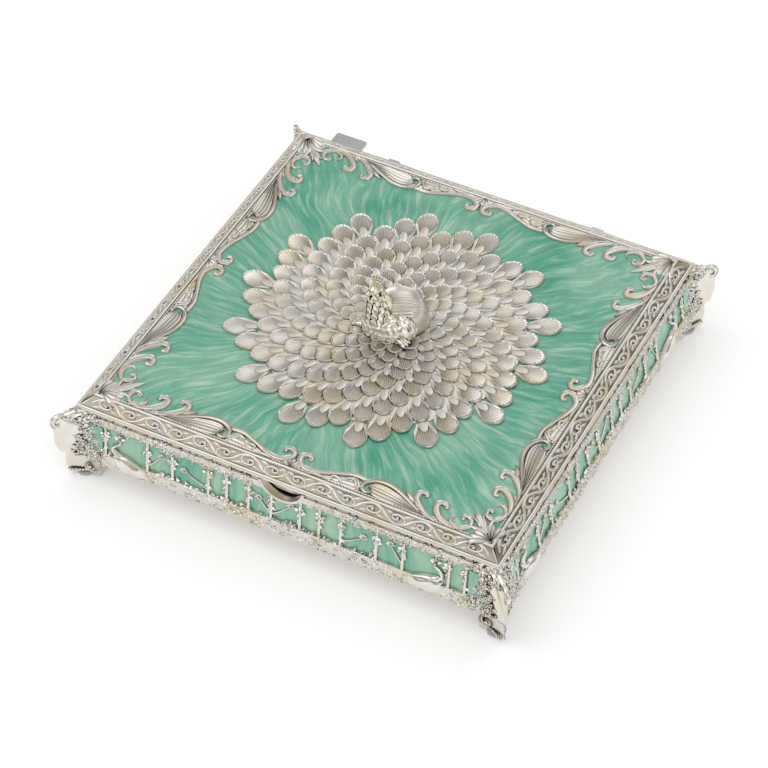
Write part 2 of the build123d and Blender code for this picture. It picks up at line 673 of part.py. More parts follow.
os.makedirs("parts", exist_ok=True)
for node, made in build().items():
    solids = solids_of(made)
    shape = solids[0] if len(solids) == 1 else Compound(solids)
    export_step(shape, "parts/" + node + ".step")
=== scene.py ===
import bpy
import random
from math import cos, pi, radians, sin, sqrt, tan
from mathutils import Matrix, Vector


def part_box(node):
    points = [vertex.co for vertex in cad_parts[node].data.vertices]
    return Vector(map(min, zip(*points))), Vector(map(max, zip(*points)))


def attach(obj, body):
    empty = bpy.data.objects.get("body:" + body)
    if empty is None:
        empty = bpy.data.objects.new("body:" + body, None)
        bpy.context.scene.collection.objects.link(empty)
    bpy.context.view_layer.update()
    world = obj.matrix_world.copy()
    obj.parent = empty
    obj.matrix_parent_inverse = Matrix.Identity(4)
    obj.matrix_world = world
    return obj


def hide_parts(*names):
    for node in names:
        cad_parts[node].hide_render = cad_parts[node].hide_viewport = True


# Silver plated wedding gift box with mint enamel, a feather rosette and a peacock on the lid.
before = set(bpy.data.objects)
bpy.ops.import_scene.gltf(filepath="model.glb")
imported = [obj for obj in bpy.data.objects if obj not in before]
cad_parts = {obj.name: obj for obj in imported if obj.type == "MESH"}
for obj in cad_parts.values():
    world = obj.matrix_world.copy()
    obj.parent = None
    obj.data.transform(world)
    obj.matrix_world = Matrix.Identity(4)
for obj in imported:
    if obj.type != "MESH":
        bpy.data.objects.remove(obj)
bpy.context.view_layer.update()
bpy.ops.object.select_all(action="DESELECT")
random.seed(7)

MM = 0.001
TURN = 2 * pi

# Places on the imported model, in millimetres
FIELD_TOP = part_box("lid_enamel")[1][2] / MM
LID_HALF = 145.0
WALL_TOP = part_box("wall_front")[1][2] / MM
WALL_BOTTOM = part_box("wall_front")[0][2] / MM
RIM_TOP = FIELD_TOP - 4.0
BEAD_LINE = LID_HALF - 9.6
SEAT_TOP = FIELD_TOP + 4.8

# Wall skin, as in the solids: upright, then a slope out to the belly, then the hem
TURN_LEVEL = WALL_TOP - 8.4
BELLY_LEVEL = WALL_TOP - 28.7
BELLY = 2.8
BELLY_SLOPE = BELLY / (TURN_LEVEL - BELLY_LEVEL)
HEM_CURL = 0.0095
BLOCK_EDGE = 127.0
FLARE_START = 118.0
FLARE_POWER = 2.4
LUG_EDGE = 111.0
LUG_LOW = 16.0
LUG_HIGH = 19.0
# Corner edge: height and reach on the diagonal
CORNER_REACH = [(18.0, 9.8), (23.9, 14.3), (30.9, 16.1), (39.2, 15.8), (45.5, 16.4), (50.5, 17.2),
                (53.2, 14.2), (54.0, 3.0), (57.2, 0.0)]
# Corner leg: height, size and reach on the diagonal
LEG_LEVELS = [(1.5, 12.2, 7.4), (3.6, 12.2, 8.4), (5.2, 11.2, 8.8), (6.5, 10.6, 9.4), (9.5, 10.2, 10.4),
              (12.5, 10.4, 10.8), (15.5, 11.6, 10.2), (18.6, 14.0, 9.8)]
# Bamboo poles, as shares of half the wall
POLE_SHARES = (-0.976, -0.74, -0.6, -0.4, -0.3, -0.178, -0.055, 0.102, 0.205, 0.32, 0.51, 0.65, 0.89, 0.976)

# Camera, from a fit to the lid's corners
CAMERA_AZIMUTH = 28.0017
CAMERA_ELEVATION = 45.883
CAMERA_ROLL = -0.7507
CAMERA_DISTANCE = 1689.6
CAMERA_TARGET = Vector((16.48, -43.44, RIM_TOP))
CAMERA_LENS = 127.863

# Feather rosette
ROSETTE_RADIUS = 107.0
ROSETTE_ARMS = 14
ROSETTE_RINGS = 12
RING_STEP = 7.2
RING_RISE = 0.3
FIRST_TIP = 104.0
FEATHER_LENGTH = 25.0
FEATHER_WIDTH = 15.4


# Materials

SILVER_WARMTH = (1.0, 0.94, 0.8)
SILVER_GRAIN = 900.0
GRAIN_DEPTH = 0.00005
STREAK_WANDER = (0.03, 0.03, 0.03)
STREAK_REACH = 42.0


def new_material(name):
    material = bpy.data.materials.new(name)
    material.use_nodes = True
    tree = material.node_tree
    return material, tree, tree.nodes["Principled BSDF"]


def put(tree, socket, value):
    """Links another node to an input, or sets the input's value."""
    if isinstance(value, bpy.types.NodeSocket):
        tree.links.new(value, socket)
    elif isinstance(value, tuple) and socket.type == "RGBA":
        socket.default_value = (*value, 1)
    else:
        socket.default_value = value


def set_node(tree, node, **settings):
    """Sets a node's inputs and choices by name, with an underscore for a space."""
    for key, value in settings.items():
        title = key.replace("_", " ")
        if title in node.inputs:
            put(tree, node.inputs[title], value)
        else:
            setattr(node, key, value)
    return node


def add(tree, kind, **settings):
    return set_node(tree, tree.nodes.new("ShaderNode" + kind), **settings)


def reckon(tree, kind, operation, *values, **settings):
    """Outputs of a sum, whose values go in by order."""
    node = add(tree, kind, operation=operation, **settings)
    for socket, value in zip(node.inputs, values):
        put(tree, socket, value)
    return node.outputs


def noise(tree, place, scale, detail, **settings):
    return add(tree, "TexNoise", Vector=place, Scale=scale, Detail=detail, **settings).outputs


def object_coordinates(tree):
    return add(tree, "TexCoord").outputs["Object"]


def ramp(tree, source, stops):
    """Colour ramp with stops of (place, colour)."""
    node = add(tree, "ValToRGB", Fac=source)
    elements = node.color_ramp.elements
    while len(elements) < len(stops):
        elements.new(0.5)
    for element, (place, colour) in zip(elements, stops):
        element.position = place
        element.color = (*colour, 1)
    return node.outputs["Color"]


def mixed(tree, factor, first, second, blend="MIX"):
    """Mix of two colours."""
    node = add(tree, "Mix", data_type="RGBA", blend_type=blend)
    for place, value in ((0, factor), (6, first), (7, second)):
        put(tree, node.inputs[place], value)
    return node.outputs[2]


def bump(tree, height, strength, distance):
    return add(tree, "Bump", Height=height, Strength=strength, Distance=distance).outputs["Normal"]


def uneven(tree, source, low, high):
    """Value that runs between two limits with its source."""
    return add(tree, "MapRange", Value=source, To_Min=low, To_Max=high).outputs["Result"]


def silver_material(name, bright, painted_shade_colour, roughness, painted_shade_amount=0.6, painted_shade_reach=0.0035):
    """Silver plate over a casting: painted shade darkens the hollows through ambient occlusion, partly
    standing for patina; warm in patches, faintly grained.
    """
    material, tree, surface = new_material(name)
    place = object_coordinates(tree)
    patches = noise(tree, place, 55.0, 3.0)["Fac"]
    warm = tuple(c * t for c, t in zip(bright, SILVER_WARMTH))
    tint = ramp(tree, patches, [(0.45, bright), (0.72, warm)])
    # Ambient occlusion darkens the hollows towards the shade colour: painted shade, partly patina.
    painted_shade_mask = add(tree, "AmbientOcclusion", samples=8, Distance=painted_shade_reach).outputs["AO"]
    shade = ramp(tree, painted_shade_mask, [(0.25, painted_shade_colour), (painted_shade_amount + 0.25, (1, 1, 1))])
    fine = noise(tree, place, SILVER_GRAIN, 4.0, Roughness=0.6)["Fac"]
    set_node(tree, surface, Base_Color=mixed(tree, 1.0, tint, shade, "MULTIPLY"), Metallic=1.0,
             Roughness=uneven(tree, patches, roughness * 0.7, roughness * 1.5),
             Normal=bump(tree, fine, 0.5, GRAIN_DEPTH))
    return material


def enamel_material(name, deep, middle, pale, spokes, swirl):
    """Pearl enamel: brushed streaks that fan out from the middle of the lid, under a clear gloss."""
    material, tree, surface = new_material(name)
    place = object_coordinates(tree)
    wander = noise(tree, place, swirl, 2.0)["Color"]
    moved = reckon(tree, "VectorMath", "MULTIPLY_ADD", wander, STREAK_WANDER, place)["Vector"]
    parts = add(tree, "SeparateXYZ", Vector=moved).outputs
    angle = reckon(tree, "Math", "ARCTAN2", parts["Y"], parts["X"])[0]
    far = reckon(tree, "VectorMath", "LENGTH", moved)["Value"]
    around = reckon(tree, "Math", "MULTIPLY", angle, spokes)[0]
    outward = reckon(tree, "Math", "MULTIPLY", far, STREAK_REACH)[0]
    fan = add(tree, "CombineXYZ", X=around, Y=outward).outputs["Vector"]
    streak = noise(tree, fan, 1.0, 6.0, Roughness=0.62, Distortion=0.6)["Fac"]
    streaks = ramp(tree, streak, [(0.34, deep), (0.5, middle), (0.7, pale)])
    clouds = ramp(tree, noise(tree, place, 22.0, 2.0)["Fac"], [(0.38, deep), (0.62, pale)])
    set_node(tree, surface, Base_Color=mixed(tree, 0.3, streaks, clouds), Roughness=0.34,
             Normal=bump(tree, streak, 0.25, 0.0003), Coat_Weight=0.6, Coat_Roughness=0.08)
    return material


def plain_material(name, colour, roughness, metallic=0.0, scale=600.0, depth=0.00004, **extra):
    """Plain finish with a fine grain and a slightly uneven gloss."""
    material, tree, surface = new_material(name)
    fine = noise(tree, object_coordinates(tree), scale, 4.0)["Fac"]
    tint = ramp(tree, fine, [(0.3, tuple(c * 0.86 for c in colour)), (0.7, colour)])
    set_node(tree, surface, Base_Color=tint, Metallic=metallic, Normal=bump(tree, fine, 0.4, depth),
             Roughness=uneven(tree, fine, roughness * 0.8, min(1.0, roughness * 1.25)), **extra)
    return material


# Each silver: its colour, the colour of the painted shade in its hollows, roughness, then how strong and how
# wide that painted shade is.
SILVER = silver_material("silver_plate", (0.72, 0.69, 0.64), (0.22, 0.205, 0.18), 0.26, 0.5, 0.0028)
CAST_SILVER = silver_material("cast_silver", (0.78, 0.76, 0.715), (0.12, 0.11, 0.095), 0.2)
FEATHER_SILVER = silver_material("feather_silver", (0.75, 0.72, 0.675), (0.2, 0.185, 0.16), 0.3, 0.45, 0.0016)
# Darker copy of the silver plate for the recessed band ground: painted shade.
SHADED_BAND_SILVER = silver_material("band_silver_painted_shade", (0.34, 0.31, 0.26), (0.12, 0.1, 0.08), 0.18, 0.5, 0.002)
PEACOCK_SILVER = silver_material("peacock_silver", (0.82, 0.785, 0.69), (0.2, 0.18, 0.14), 0.17, 0.5, 0.0016)
TAIL_SILVER = silver_material("tail_silver", (0.76, 0.72, 0.66), (0.22, 0.2, 0.16), 0.3, 0.5, 0.002)
LID_ENAMEL = enamel_material("lid_enamel", (0.03, 0.30, 0.19), (0.10, 0.42, 0.285), (0.50, 0.70, 0.54),
                             30.0, 14.0)
WALL_ENAMEL = enamel_material("wall_enamel", (0.13, 0.48, 0.32), (0.26, 0.61, 0.44), (0.54, 0.76, 0.54),
                              20.0, 24.0)
STEEL = plain_material("plain_steel", (0.62, 0.62, 0.62), 0.35, 1.0)
VELVET = plain_material("velvet", (0.72, 0.69, 0.60), 0.9, 0.0, 1400.0, 0.0002, Sheen_Weight=0.6)
CLEAR_PAD = plain_material("clear_pad", (0.88, 0.88, 0.86), 0.25, Transmission_Weight=0.3)
DARK_RUBBER = plain_material("dark_rubber", (0.03, 0.03, 0.03), 0.6)


# Mesh helpers, all in millimetres until placed

def piece_from(name, points, faces):
    """New object from points in millimetres."""
    mesh = bpy.data.meshes.new(name)
    mesh.from_pydata([(x * MM, y * MM, z * MM) for x, y, z in points], [], faces)
    mesh.update()
    piece = bpy.data.objects.new(name, mesh)
    bpy.context.collection.objects.link(piece)
    return piece


def grid_faces(rows, columns, closed=False):
    """Quads over a grid of points, wrapped round if it is closed."""
    faces = []
    for low in range(0, (rows - 1) * columns, columns):
        for c in range(columns if closed else columns - 1):
            d = (c + 1) % columns
            faces.append((low + c, low + d, low + columns + d, low + columns + c))
    return faces


def curve_points(controls, steps):
    """Smooth line through the control points, steps to each span."""
    points = []
    last = len(controls) - 1
    for i in range(last):
        a = Vector(controls[max(i - 1, 0)])
        b = Vector(controls[i])
        c = Vector(controls[i + 1])
        d = Vector(controls[min(i + 2, last)])
        for step in range(steps):
            t = step / steps
            points.append(0.5 * (2 * b + (c - a) * t + (2 * a - 5 * b + 4 * c - d) * t * t
                                 + (3 * b - a - 3 * c + d) * t * t * t))
    points.append(Vector(controls[last]))
    return points


def part_way(values, share):
    """Value at a share of the way through a list."""
    spot = share * (len(values) - 1)
    j = min(int(spot), len(values) - 2)
    return values[j] + (values[j + 1] - values[j]) * (spot - j)


def spot_at(radius, angle):
    return radius * cos(angle), radius * sin(angle)


def add_form(points, faces, form, place):
    """Adds a small casting, with its points moved by a placing function."""
    start = len(points)
    spots, sides = form
    points += [place(*spot) for spot in spots]
    faces += [tuple(start + v for v in face) for face in sides]


def lay(points, place):
    """Maps flat relief points (x, y, height) onto a surface with a placing function."""
    return [place(x, y, h) for x, y, h in points]


def on_field(x, y, h):
    return x, y, FIELD_TOP + h


def wall_skin(z):
    """Distance of the wall's outer skin from the middle of the box."""
    if z > TURN_LEVEL:
        return LID_HALF
    if z > BELLY_LEVEL:
        return LID_HALF + BELLY_SLOPE * (TURN_LEVEL - z)
    drop = BELLY_LEVEL - z
    return LID_HALF + BELLY + BELLY_SLOPE * drop - HEM_CURL * drop * drop


def corner_reach(z):
    """How far the corner's edge stands out on the diagonal at a height."""
    for (low, a), (high, b) in zip(CORNER_REACH, CORNER_REACH[1:]):
        if z <= high:
            share = max(0.0, (z - low) / (high - low))
            return a + (b - a) * (3 - 2 * share) * share * share
    return CORNER_REACH[-1][1]


def corner_edge(z):
    return LID_HALF + corner_reach(z) / sqrt(2)


def on_wall(x, z, h):
    """Point on the front wall, which flares out to a sharp edge at each corner."""
    skin = wall_skin(z)
    beyond = abs(x) - FLARE_START
    if beyond > 0:
        edge = corner_edge(z)
        share = min(beyond / (edge - FLARE_START), 1.0)
        skin += (edge - skin) * share ** FLARE_POWER
    return x, -(skin + h), z


# Cross-sections of cast stems: share of half the width, share of the height, and whether it is a twisted edge
PLAIN_SECTION = [(-1, -0.3, 0), (-0.9, 0.45, 0), (-0.5, 0.9, 0), (0, 1.0, 0), (0.5, 0.9, 0), (0.9, 0.45, 0),
                 (1, -0.3, 0)]
ROPE_SECTION = [(-1, -0.3, 0), (-0.98, 0.5, 1), (-0.74, 0.95, 1), (-0.46, 0.42, 0), (0, 0.66, 0),
                (0.46, 0.42, 0), (0.74, 0.95, 1), (0.98, 0.5, 1), (1, -0.3, 0)]
ROPE_PITCH = 1.5
ROPE_DEPTH = 0.5


def stem(name, controls, widths, height, section=PLAIN_SECTION, place=on_field):
    """Cast stem along a smooth line; the width runs through the given widths and a twisted edge is notched."""
    line = curve_points([(x, y, 0) for x, y in controls], 24)
    reach = [0.0]
    for a, b in zip(line, line[1:]):
        reach.append(reach[-1] + (b - a).length)
    rope = section is ROPE_SECTION
    count = max(4, int(reach[-1] / (ROPE_PITCH / 2 if rope else 0.9)))
    points = []
    k = 0
    for i in range(count + 1):
        target = reach[-1] * i / count
        while k < len(line) - 2 and reach[k + 1] < target:
            k += 1
        span = reach[k + 1] - reach[k]
        centre = line[k].lerp(line[k + 1], (target - reach[k]) / span if span else 0)
        along = (line[min(k + 2, len(line) - 1)] - line[max(k - 1, 0)]).normalized()
        across = Vector((-along.y, along.x, 0))
        half = part_way(widths, i / count) / 2
        taller = height * min(1.0, 0.4 + half / max(widths))
        for side, h, twisted in section:
            point = centre + across * (side * half)
            drop = ROPE_DEPTH if twisted and i % 2 else 0.0
            points.append((point.x, point.y, h * taller - drop if h > 0 else h))
    columns = len(section)
    faces = grid_faces(count + 1, columns)
    for row in (0, count):
        ring = [row * columns + c for c in range(columns)]
        faces.append(tuple(ring if row == 0 else reversed(ring)))
    return piece_from(name, lay(points, place), faces)


# Small castings that are scattered in the floral bands: points (along, across, height) and faces
LEAFLET = ([(0, 0, -0.05), (0.42, 0.3, -0.05), (0.42, -0.3, -0.05), (1.0, 0, 0.06), (0.45, 0, 0.34)],
           [(0, 2, 4), (2, 3, 4), (3, 1, 4), (1, 0, 4)])


def dome_form(sides):
    """Small round berry."""
    points = []
    for radius, height in ((1.0, -0.1), (0.8, 0.5)):
        points += [(*spot_at(radius, TURN * k / sides), height) for k in range(sides)]
    points.append((0, 0, 0.85))
    faces = grid_faces(2, sides, True)
    faces += [(sides + k, sides + (k + 1) % sides, 2 * sides) for k in range(sides)]
    return points, faces


def blossom_form(petals):
    """Flower with cupped petals round a small eye."""
    points, faces = [], []
    for k in range(petals):
        a = TURN * k / petals
        spread = pi / petals * 0.9
        start = len(points)
        for radius, turn, height in ((0.2, 0, 0.1), (0.75, spread, 0.16), (1.0, 0, 0.3), (0.75, -spread, 0.16),
                                     (0.6, 0, 0.42)):
            points.append((*spot_at(radius, a + turn), height))
        for one, two in ((0, 3), (3, 2), (2, 1), (1, 0)):
            faces.append((start + one, start + two, start + 4))
        for one, turn in ((1, spread), (2, -spread)):
            radius, low = 0.8, len(points)
            points += [(*spot_at(radius, a + turn), -0.1), (*spot_at(1.0, a), -0.1)]
            side = (1, low, low + 1, 2) if one == 1 else (2, low + 1, low, 3)
            faces.append(tuple(v + start if v < low else v for v in side))
    add_form(points, faces, dome_form(5), lambda x, y, z: (x * 0.26, y * 0.26, 0.28 + z * 0.3))
    return points, faces


BERRY = dome_form(6)
BLOSSOM = blossom_form(5)


def scatter(name, dabs, place):
    """One piece from many small castings; each is (form, x, y, size, turn, lift)."""
    points, faces = [], []
    for form, x, y, size, turn, lift in dabs:
        ca, sa = cos(turn), sin(turn)
        add_form(points, faces, form, lambda u, v, w: (
            x + (u * ca - v * sa) * size, y + (u * sa + v * ca) * size, lift + w * size))
    return piece_from(name, lay(points, place), faces)


def pick(*objects):
    """Selects objects only, the first as the active one."""
    bpy.ops.object.select_all(action="DESELECT")
    for item in objects:
        item.select_set(True)
    bpy.context.view_layer.objects.active = objects[0]


def joined(name, objects):
    """Joins objects into one."""
    pick(*objects)
    if len(objects) > 1:
        bpy.ops.object.join()
    result = bpy.context.view_layer.objects.active
    result.name = name
    return result


def copy_of(piece, matrix, flip=False):
    """Copy with its own mesh, moved by a matrix in metres."""
    twin = piece.copy()
    twin.data = piece.data.copy()
    bpy.context.collection.objects.link(twin)
    twin.data.transform(matrix)
    if flip:
        twin.data.flip_normals()
    return twin


def turned(quarters):
    """Turn about the box's upright axis by quarters."""
    return Matrix.Rotation(quarters * pi / 2, 4, "Z")


def round_four(piece, mirrored=True):
    """The piece, its mirror image, and both turned round the four sides."""
    copies = []
    mirror = Matrix.Scale(-1, 4, (1, 0, 0))
    for turn in range(4):
        if turn:
            copies.append(copy_of(piece, turned(turn)))
        if mirrored:
            copies.append(copy_of(piece, turned(turn) @ mirror, True))
    return [piece] + copies


def finish(piece, body, material, replaces=(), angle=40):
    """Cleans a piece, gives it its finish and hands it to the frame."""
    pick(piece)
    bpy.ops.object.mode_set(mode="EDIT")
    bpy.ops.mesh.select_all(action="SELECT")
    bpy.ops.mesh.remove_doubles(threshold=0.000005)
    bpy.ops.mesh.normals_make_consistent(inside=False)
    bpy.ops.object.mode_set(mode="OBJECT")
    bpy.ops.object.shade_smooth_by_angle(angle=radians(angle))
    piece.data.materials.clear()
    piece.data.materials.append(material)
    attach(piece, body)
    if replaces:
        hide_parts(*replaces)
    return piece


# Feather rosette

FEATHER_RAYS = [-56, -42, -31] + [-24 + 2.4 * k for k in range(21)] + [31, 42, 56]
FEATHER_ROWS = (0.0, 0.5, 0.875, 0.905, 0.945, 0.985, 1.0)
RIM_WIDTH = 1.0
RIM_HEIGHT = 0.85
RIB_HEIGHT = 0.66
RIBBED_RAYS = range(3, 24)
FEATHER_FOOT = -0.8
FEATHER_TILT = 1.2
BED_SIDES = 168
BED_RIDGE = 0.3
EYE_LENGTH = 0.5
EYE_WIDTH = 0.43
EYE_SIDES = 14
# Eye: share of its size, and height
EYE_RINGS = [(0.0, 1.25), (0.6, 1.2), (0.88, 1.0), (1.0, -0.1)]


def half_width(share, width):
    """Half the width of a feather at a share of its length."""
    return width / 2 * sin(pi * min(max(share, 0.0), 1.0) ** 1.38) ** 0.52


def ray_length(angle, length, width):
    """Distance from the root to the rim along a ray."""
    low, high = 0.02, 1.0
    slope = abs(tan(angle))
    for _ in range(24):
        share = (low + high) / 2
        if half_width(share, width) > slope * share * length:
            low = share
        else:
            high = share
    return low * length / cos(angle)


def feather(name, length, width):
    """Feather with fine ribs that fan out from its root, a raised rim and a smooth drop shaped eye."""
    points = []
    for share in FEATHER_ROWS + (1.0,):
        for k, degrees in enumerate(FEATHER_RAYS):
            angle = radians(degrees)
            reach = ray_length(angle, length, width) * share
            x, y = reach * cos(angle), reach * sin(angle)
            inside = min(half_width(x / length, width) - abs(y), reach / max(share, 0.01) * (1 - share))
            if len(points) >= len(FEATHER_ROWS) * len(FEATHER_RAYS):
                height = FEATHER_FOOT
            elif inside < RIM_WIDTH:
                height = RIM_HEIGHT * (0.45 if inside < 0.15 else 1.0)
            else:
                height = RIB_HEIGHT * (k % 2) if k in RIBBED_RAYS else 0.0
            points.append((x, y, height + FEATHER_TILT * x / length))
    fan = piece_from(name, points, grid_faces(len(FEATHER_ROWS) + 1, len(FEATHER_RAYS)))
    eye_length, eye_width = length * EYE_LENGTH, width * EYE_WIDTH
    points = []
    for share, height in reversed(EYE_RINGS):
        for k in range(EYE_SIDES):
            turn = TURN * k / EYE_SIDES
            x = cos(turn)
            y = sin(turn) * (0.62 + 0.38 * x) ** 0.7
            px = eye_length * (0.62 + share * (x * 0.5 - 0.12 * (1 - x * x))) - eye_length * 0.12
            points.append((px, y * share * eye_width / 2 * 1.22, height + FEATHER_TILT * px / length))
    eye = piece_from("eye", points, grid_faces(len(EYE_RINGS), EYE_SIDES, True))
    return joined(name, [fan, eye])


def make_rosette():
    """Rings of feathers that overlap from the middle outwards, each turned on by a third of an arm."""
    pitch = 360 / ROSETTE_ARMS
    plumes = []
    for ring in range(ROSETTE_RINGS + 1):
        shrink = 1 - 0.3 * ring / ROSETTE_RINGS
        length = FEATHER_LENGTH * shrink
        model = feather("feather", length, FEATHER_WIDTH * shrink)
        reach = ROSETTE_RADIUS - ring * RING_STEP
        for arm in range(ROSETTE_ARMS):
            turn = radians(FIRST_TIP + ring * pitch / 3 + arm * pitch)
            lean = radians(random.uniform(-2.5, 2.5))
            lift = (FIELD_TOP + ring * RING_RISE) * MM
            place = (Matrix.Rotation(turn, 4, "Z") @ Matrix.Translation(((reach - length) * MM, 0, lift))
                     @ Matrix.Rotation(lean, 4, "Z"))
            plumes.append(copy_of(model, place))
        bpy.data.objects.remove(model)
    rosette = joined("feathers", plumes)
    return finish(rosette, "lid", FEATHER_SILVER, ["feather_rosette"], 34)


def make_rosette_bed():
    """Low cone with fine radial ribs that shows as warm slots between the feathers."""
    points = []
    levels = [(85, -0.1), (84.6, 0.7), (66, 1.7), (48, 2.4), (30, 3.1), (20.5, 3.5), (20, 4.3), (0.5, 4.3)]
    for radius, level in levels:
        for k in range(BED_SIDES):
            ridge = BED_RIDGE * (k % 2) if 20.2 < radius else 0
            points.append((*spot_at(radius, TURN * k / BED_SIDES), FIELD_TOP + level + ridge))
    faces = grid_faces(len(levels), BED_SIDES, True)
    faces.append(tuple(range((len(levels) - 1) * BED_SIDES, len(points))))
    bed = piece_from("rosette_bed", points, faces)
    return finish(bed, "lid", FEATHER_SILVER)


# Rococo border, drawn on the left half of the front side

CORNER_SCROLL = [(-124, -106.2), (-127.4, -104.4), (-131, -107), (-131.8, -112), (-128, -116.6),
                 (-123.4, -116.2), (-121.4, -113), (-123, -110.6), (-124.8, -112)]
CORNER_TWIN = [(y, x) for x, y in CORNER_SCROLL]
CORNER_WIDTHS = [1.0, 3.4, 3.9, 3.9, 3.1, 2.9]
FIRST_HOOK = [(-112, -133), (-106, -132.8), (-99.6, -130.6), (-94.6, -126), (-92.6, -121.4), (-94.8, -118.6),
              (-98.2, -119.4), (-98.4, -122)]
SECOND_HOOK = [(-97, -133.4), (-90, -131.4), (-83.6, -127), (-79, -121.4), (-79.6, -117), (-83.2, -116.2),
               (-84.6, -118.8)]
ARCH = [(-93, -133.4), (-83, -129.8), (-73, -124.8), (-63, -120.8), (-54, -120.4), (-47.4, -124), (-46, -129),
        (-49.4, -131.6), (-52.6, -129.8), (-51, -127.2)]
LONG_SCROLL = [(-47.6, -123), (-38, -122.6), (-28, -126), (-18, -130), (-9.4, -131.2), (-3.8, -128),
               (-2.4, -123.6), (-5.4, -120.8), (-8.8, -122), (-8.2, -124.6)]
INNER_LEAVES = [
    [(-44, -133), (-42, -128.8), (-38.6, -126), (-35.2, -127.6), (-36.2, -130)],
    [(-34, -133.2), (-32, -130.2), (-28.6, -128.8), (-26, -130.2), (-27.6, -132)],
    [(-46, -131), (-43, -127.6), (-40.6, -125.2), (-37.8, -125)],
    [(-24, -133.4), (-19, -132.6), (-13, -133.4)],
]
SHELL_SPREAD = radians(150)
BUD = [(-129, -129), (-122, -122), (-117, -117), (-113.5, -113.5)]
CORNER_LEAF = [(-128, -127), (-122.5, -120), (-120.5, -115.6)]
CORNER_LEAF_LOW = [(-127, -130), (-120.6, -127.4), (-115, -128.6)]
SIDE_LEAF = [(-84, -128), (-79, -125), (-75, -122.6), (-71.4, -120.6)]


def fluted_leaf(name, upper, lower, flutes, height):
    """Leaf with flutes that run along it, between an upper and a lower line."""
    top = curve_points([(x, y, 0) for x, y in upper], 6)
    low = curve_points([(x, y, 0) for x, y in lower], 6)
    across = flutes * 4
    points = []
    for i, a in enumerate(top):
        b = low[int(i / (len(top) - 1) * (len(low) - 1))]
        gape = min(1.0, (a - b).length / 7.0)
        for k in range(across + 1):
            share = k / across
            point = a.lerp(b, share)
            crown = sin(pi * min(max(share, 0.04), 0.96)) ** 0.4
            flute = 0.45 + 0.55 * abs(sin(pi * share * flutes))
            rise = height * crown * flute * (0.3 + 0.7 * gape)
            points.append((point.x, point.y, rise if 0 < k < across else -0.2))
    return piece_from(name, lay(points, on_field), grid_faces(len(top), across + 1))


def shell(name, x, y, heading, length, width, lobes, height, place=on_field):
    """Fan shaped shell with raised ribs and lobes along its edge."""
    points = []
    rows = 7
    across = 4 * lobes
    ca, sa = cos(heading), sin(heading)
    for r in range(rows + 1):
        share = r / rows
        for k in range(across + 1):
            spread = (k / across - 0.5) * SHELL_SPREAD
            rib = abs(sin(pi * k / 4))
            reach = length * share * (0.86 + 0.14 * rib if r >= rows - 1 else 1.0)
            px = reach * cos(spread)
            py = reach * sin(spread) * width / length
            h = height * (0.5 + 0.5 * rib) * sin(pi * (0.15 + 0.8 * share)) ** 0.6
            points.append((x + px * ca - py * sa, y + px * sa + py * ca, h if r < rows else -0.3))
    return piece_from(name, lay(points, place), grid_faces(rows + 1, across + 1))


def make_border():
    """Scrollwork round the enamel field."""
    half = [
        stem("corner_scroll", CORNER_SCROLL, CORNER_WIDTHS, 1.6, ROPE_SECTION),
        stem("corner_twin", CORNER_TWIN, CORNER_WIDTHS, 1.6, ROPE_SECTION),
        stem("first_hook", FIRST_HOOK, [1.8, 3.9, 4.9, 5.2, 4.7, 3.1], 1.9, ROPE_SECTION),
        stem("second_hook", SECOND_HOOK, [1.8, 3.9, 5.2, 5.2, 4.2, 3.1], 1.9, ROPE_SECTION),
        stem("arch", ARCH, [1.6, 2.3, 2.9, 3.1, 3.4, 3.6, 3.1, 2.3], 2.1, ROPE_SECTION),
        stem("long_scroll", LONG_SCROLL, [3.4, 3.4, 2.9, 3.4, 4.4, 5.2, 4.4, 2.9], 1.9, ROPE_SECTION),
        stem("corner_leaf", CORNER_LEAF, [3.0, 3.6, 0.8], 1.9),
        stem("corner_leaf", CORNER_LEAF_LOW, [3.0, 3.8, 0.8], 1.7),
        stem("side_leaf", SIDE_LEAF, [1.8, 3.4, 3.9, 0.8], 1.9, ROPE_SECTION),
        fluted_leaf("long_leaf",
                    [(-90, -132.6), (-80, -129), (-70, -124.6), (-60, -121.8), (-53, -122.4), (-49.4, -126)],
                    [(-90, -133.6), (-80, -133.8), (-70, -133.8), (-60, -133.6), (-54, -132.4), (-52, -129.4)],
                    5, 2.0),
        fluted_leaf("under_leaf", [(-47, -125), (-38, -124.6), (-28, -128), (-18, -131.6), (-10, -132.8)],
                    [(-45, -133.6), (-37, -133.8), (-28, -133.9), (-19, -133.9), (-10, -133.8)], 3, 1.0),
        fluted_leaf("hook_leaf", [(-112, -132.8), (-104, -132), (-97, -129.4), (-92, -130.8), (-86, -131.8)],
                    [(-112, -133.9), (-104, -133.9), (-97, -133.9), (-92, -133.9), (-86, -133.8)], 3, 0.9),
    ]
    for line in INNER_LEAVES:
        half.append(stem("inner_leaf", line, [0.8, 2.4, 2.4, 1.0], 2.0))
    dabs = [(BERRY, -52.4 - 0.9 * k, -127 - 1.2 * k, 0.75 - 0.12 * k, 0, 0.9) for k in range(3)]
    half.append(scatter("border_berries", dabs, on_field))
    pieces = round_four(joined("border_half", half))
    shells = [shell("corner_shell", -134.0, -134.0, pi / 4, 16.5, 14, 8, 2.4),
              stem("bud", BUD, [4.5, 4.0, 4.6, 0.8], 2.4),
              shell("middle_shell", 0, -134.2, pi / 2, 7.5, 8, 5, 1.8)]
    pieces += round_four(joined("shells", shells), False)
    border = joined("border_scrolls", pieces)
    return finish(border, "lid", SILVER, ["lid_border_scrolls"], 45)


# Sloping band with its running vine

VINE_WAVE = 33.4
BAND_OUTER = LID_HALF - 2.6
BAND_INNER = LID_HALF - 8.5
BAND_HALF_WIDTH = 3.4
BAND_RISE = 4.2
BAND_LEAN = 0.57
BAND_UP = 0.82


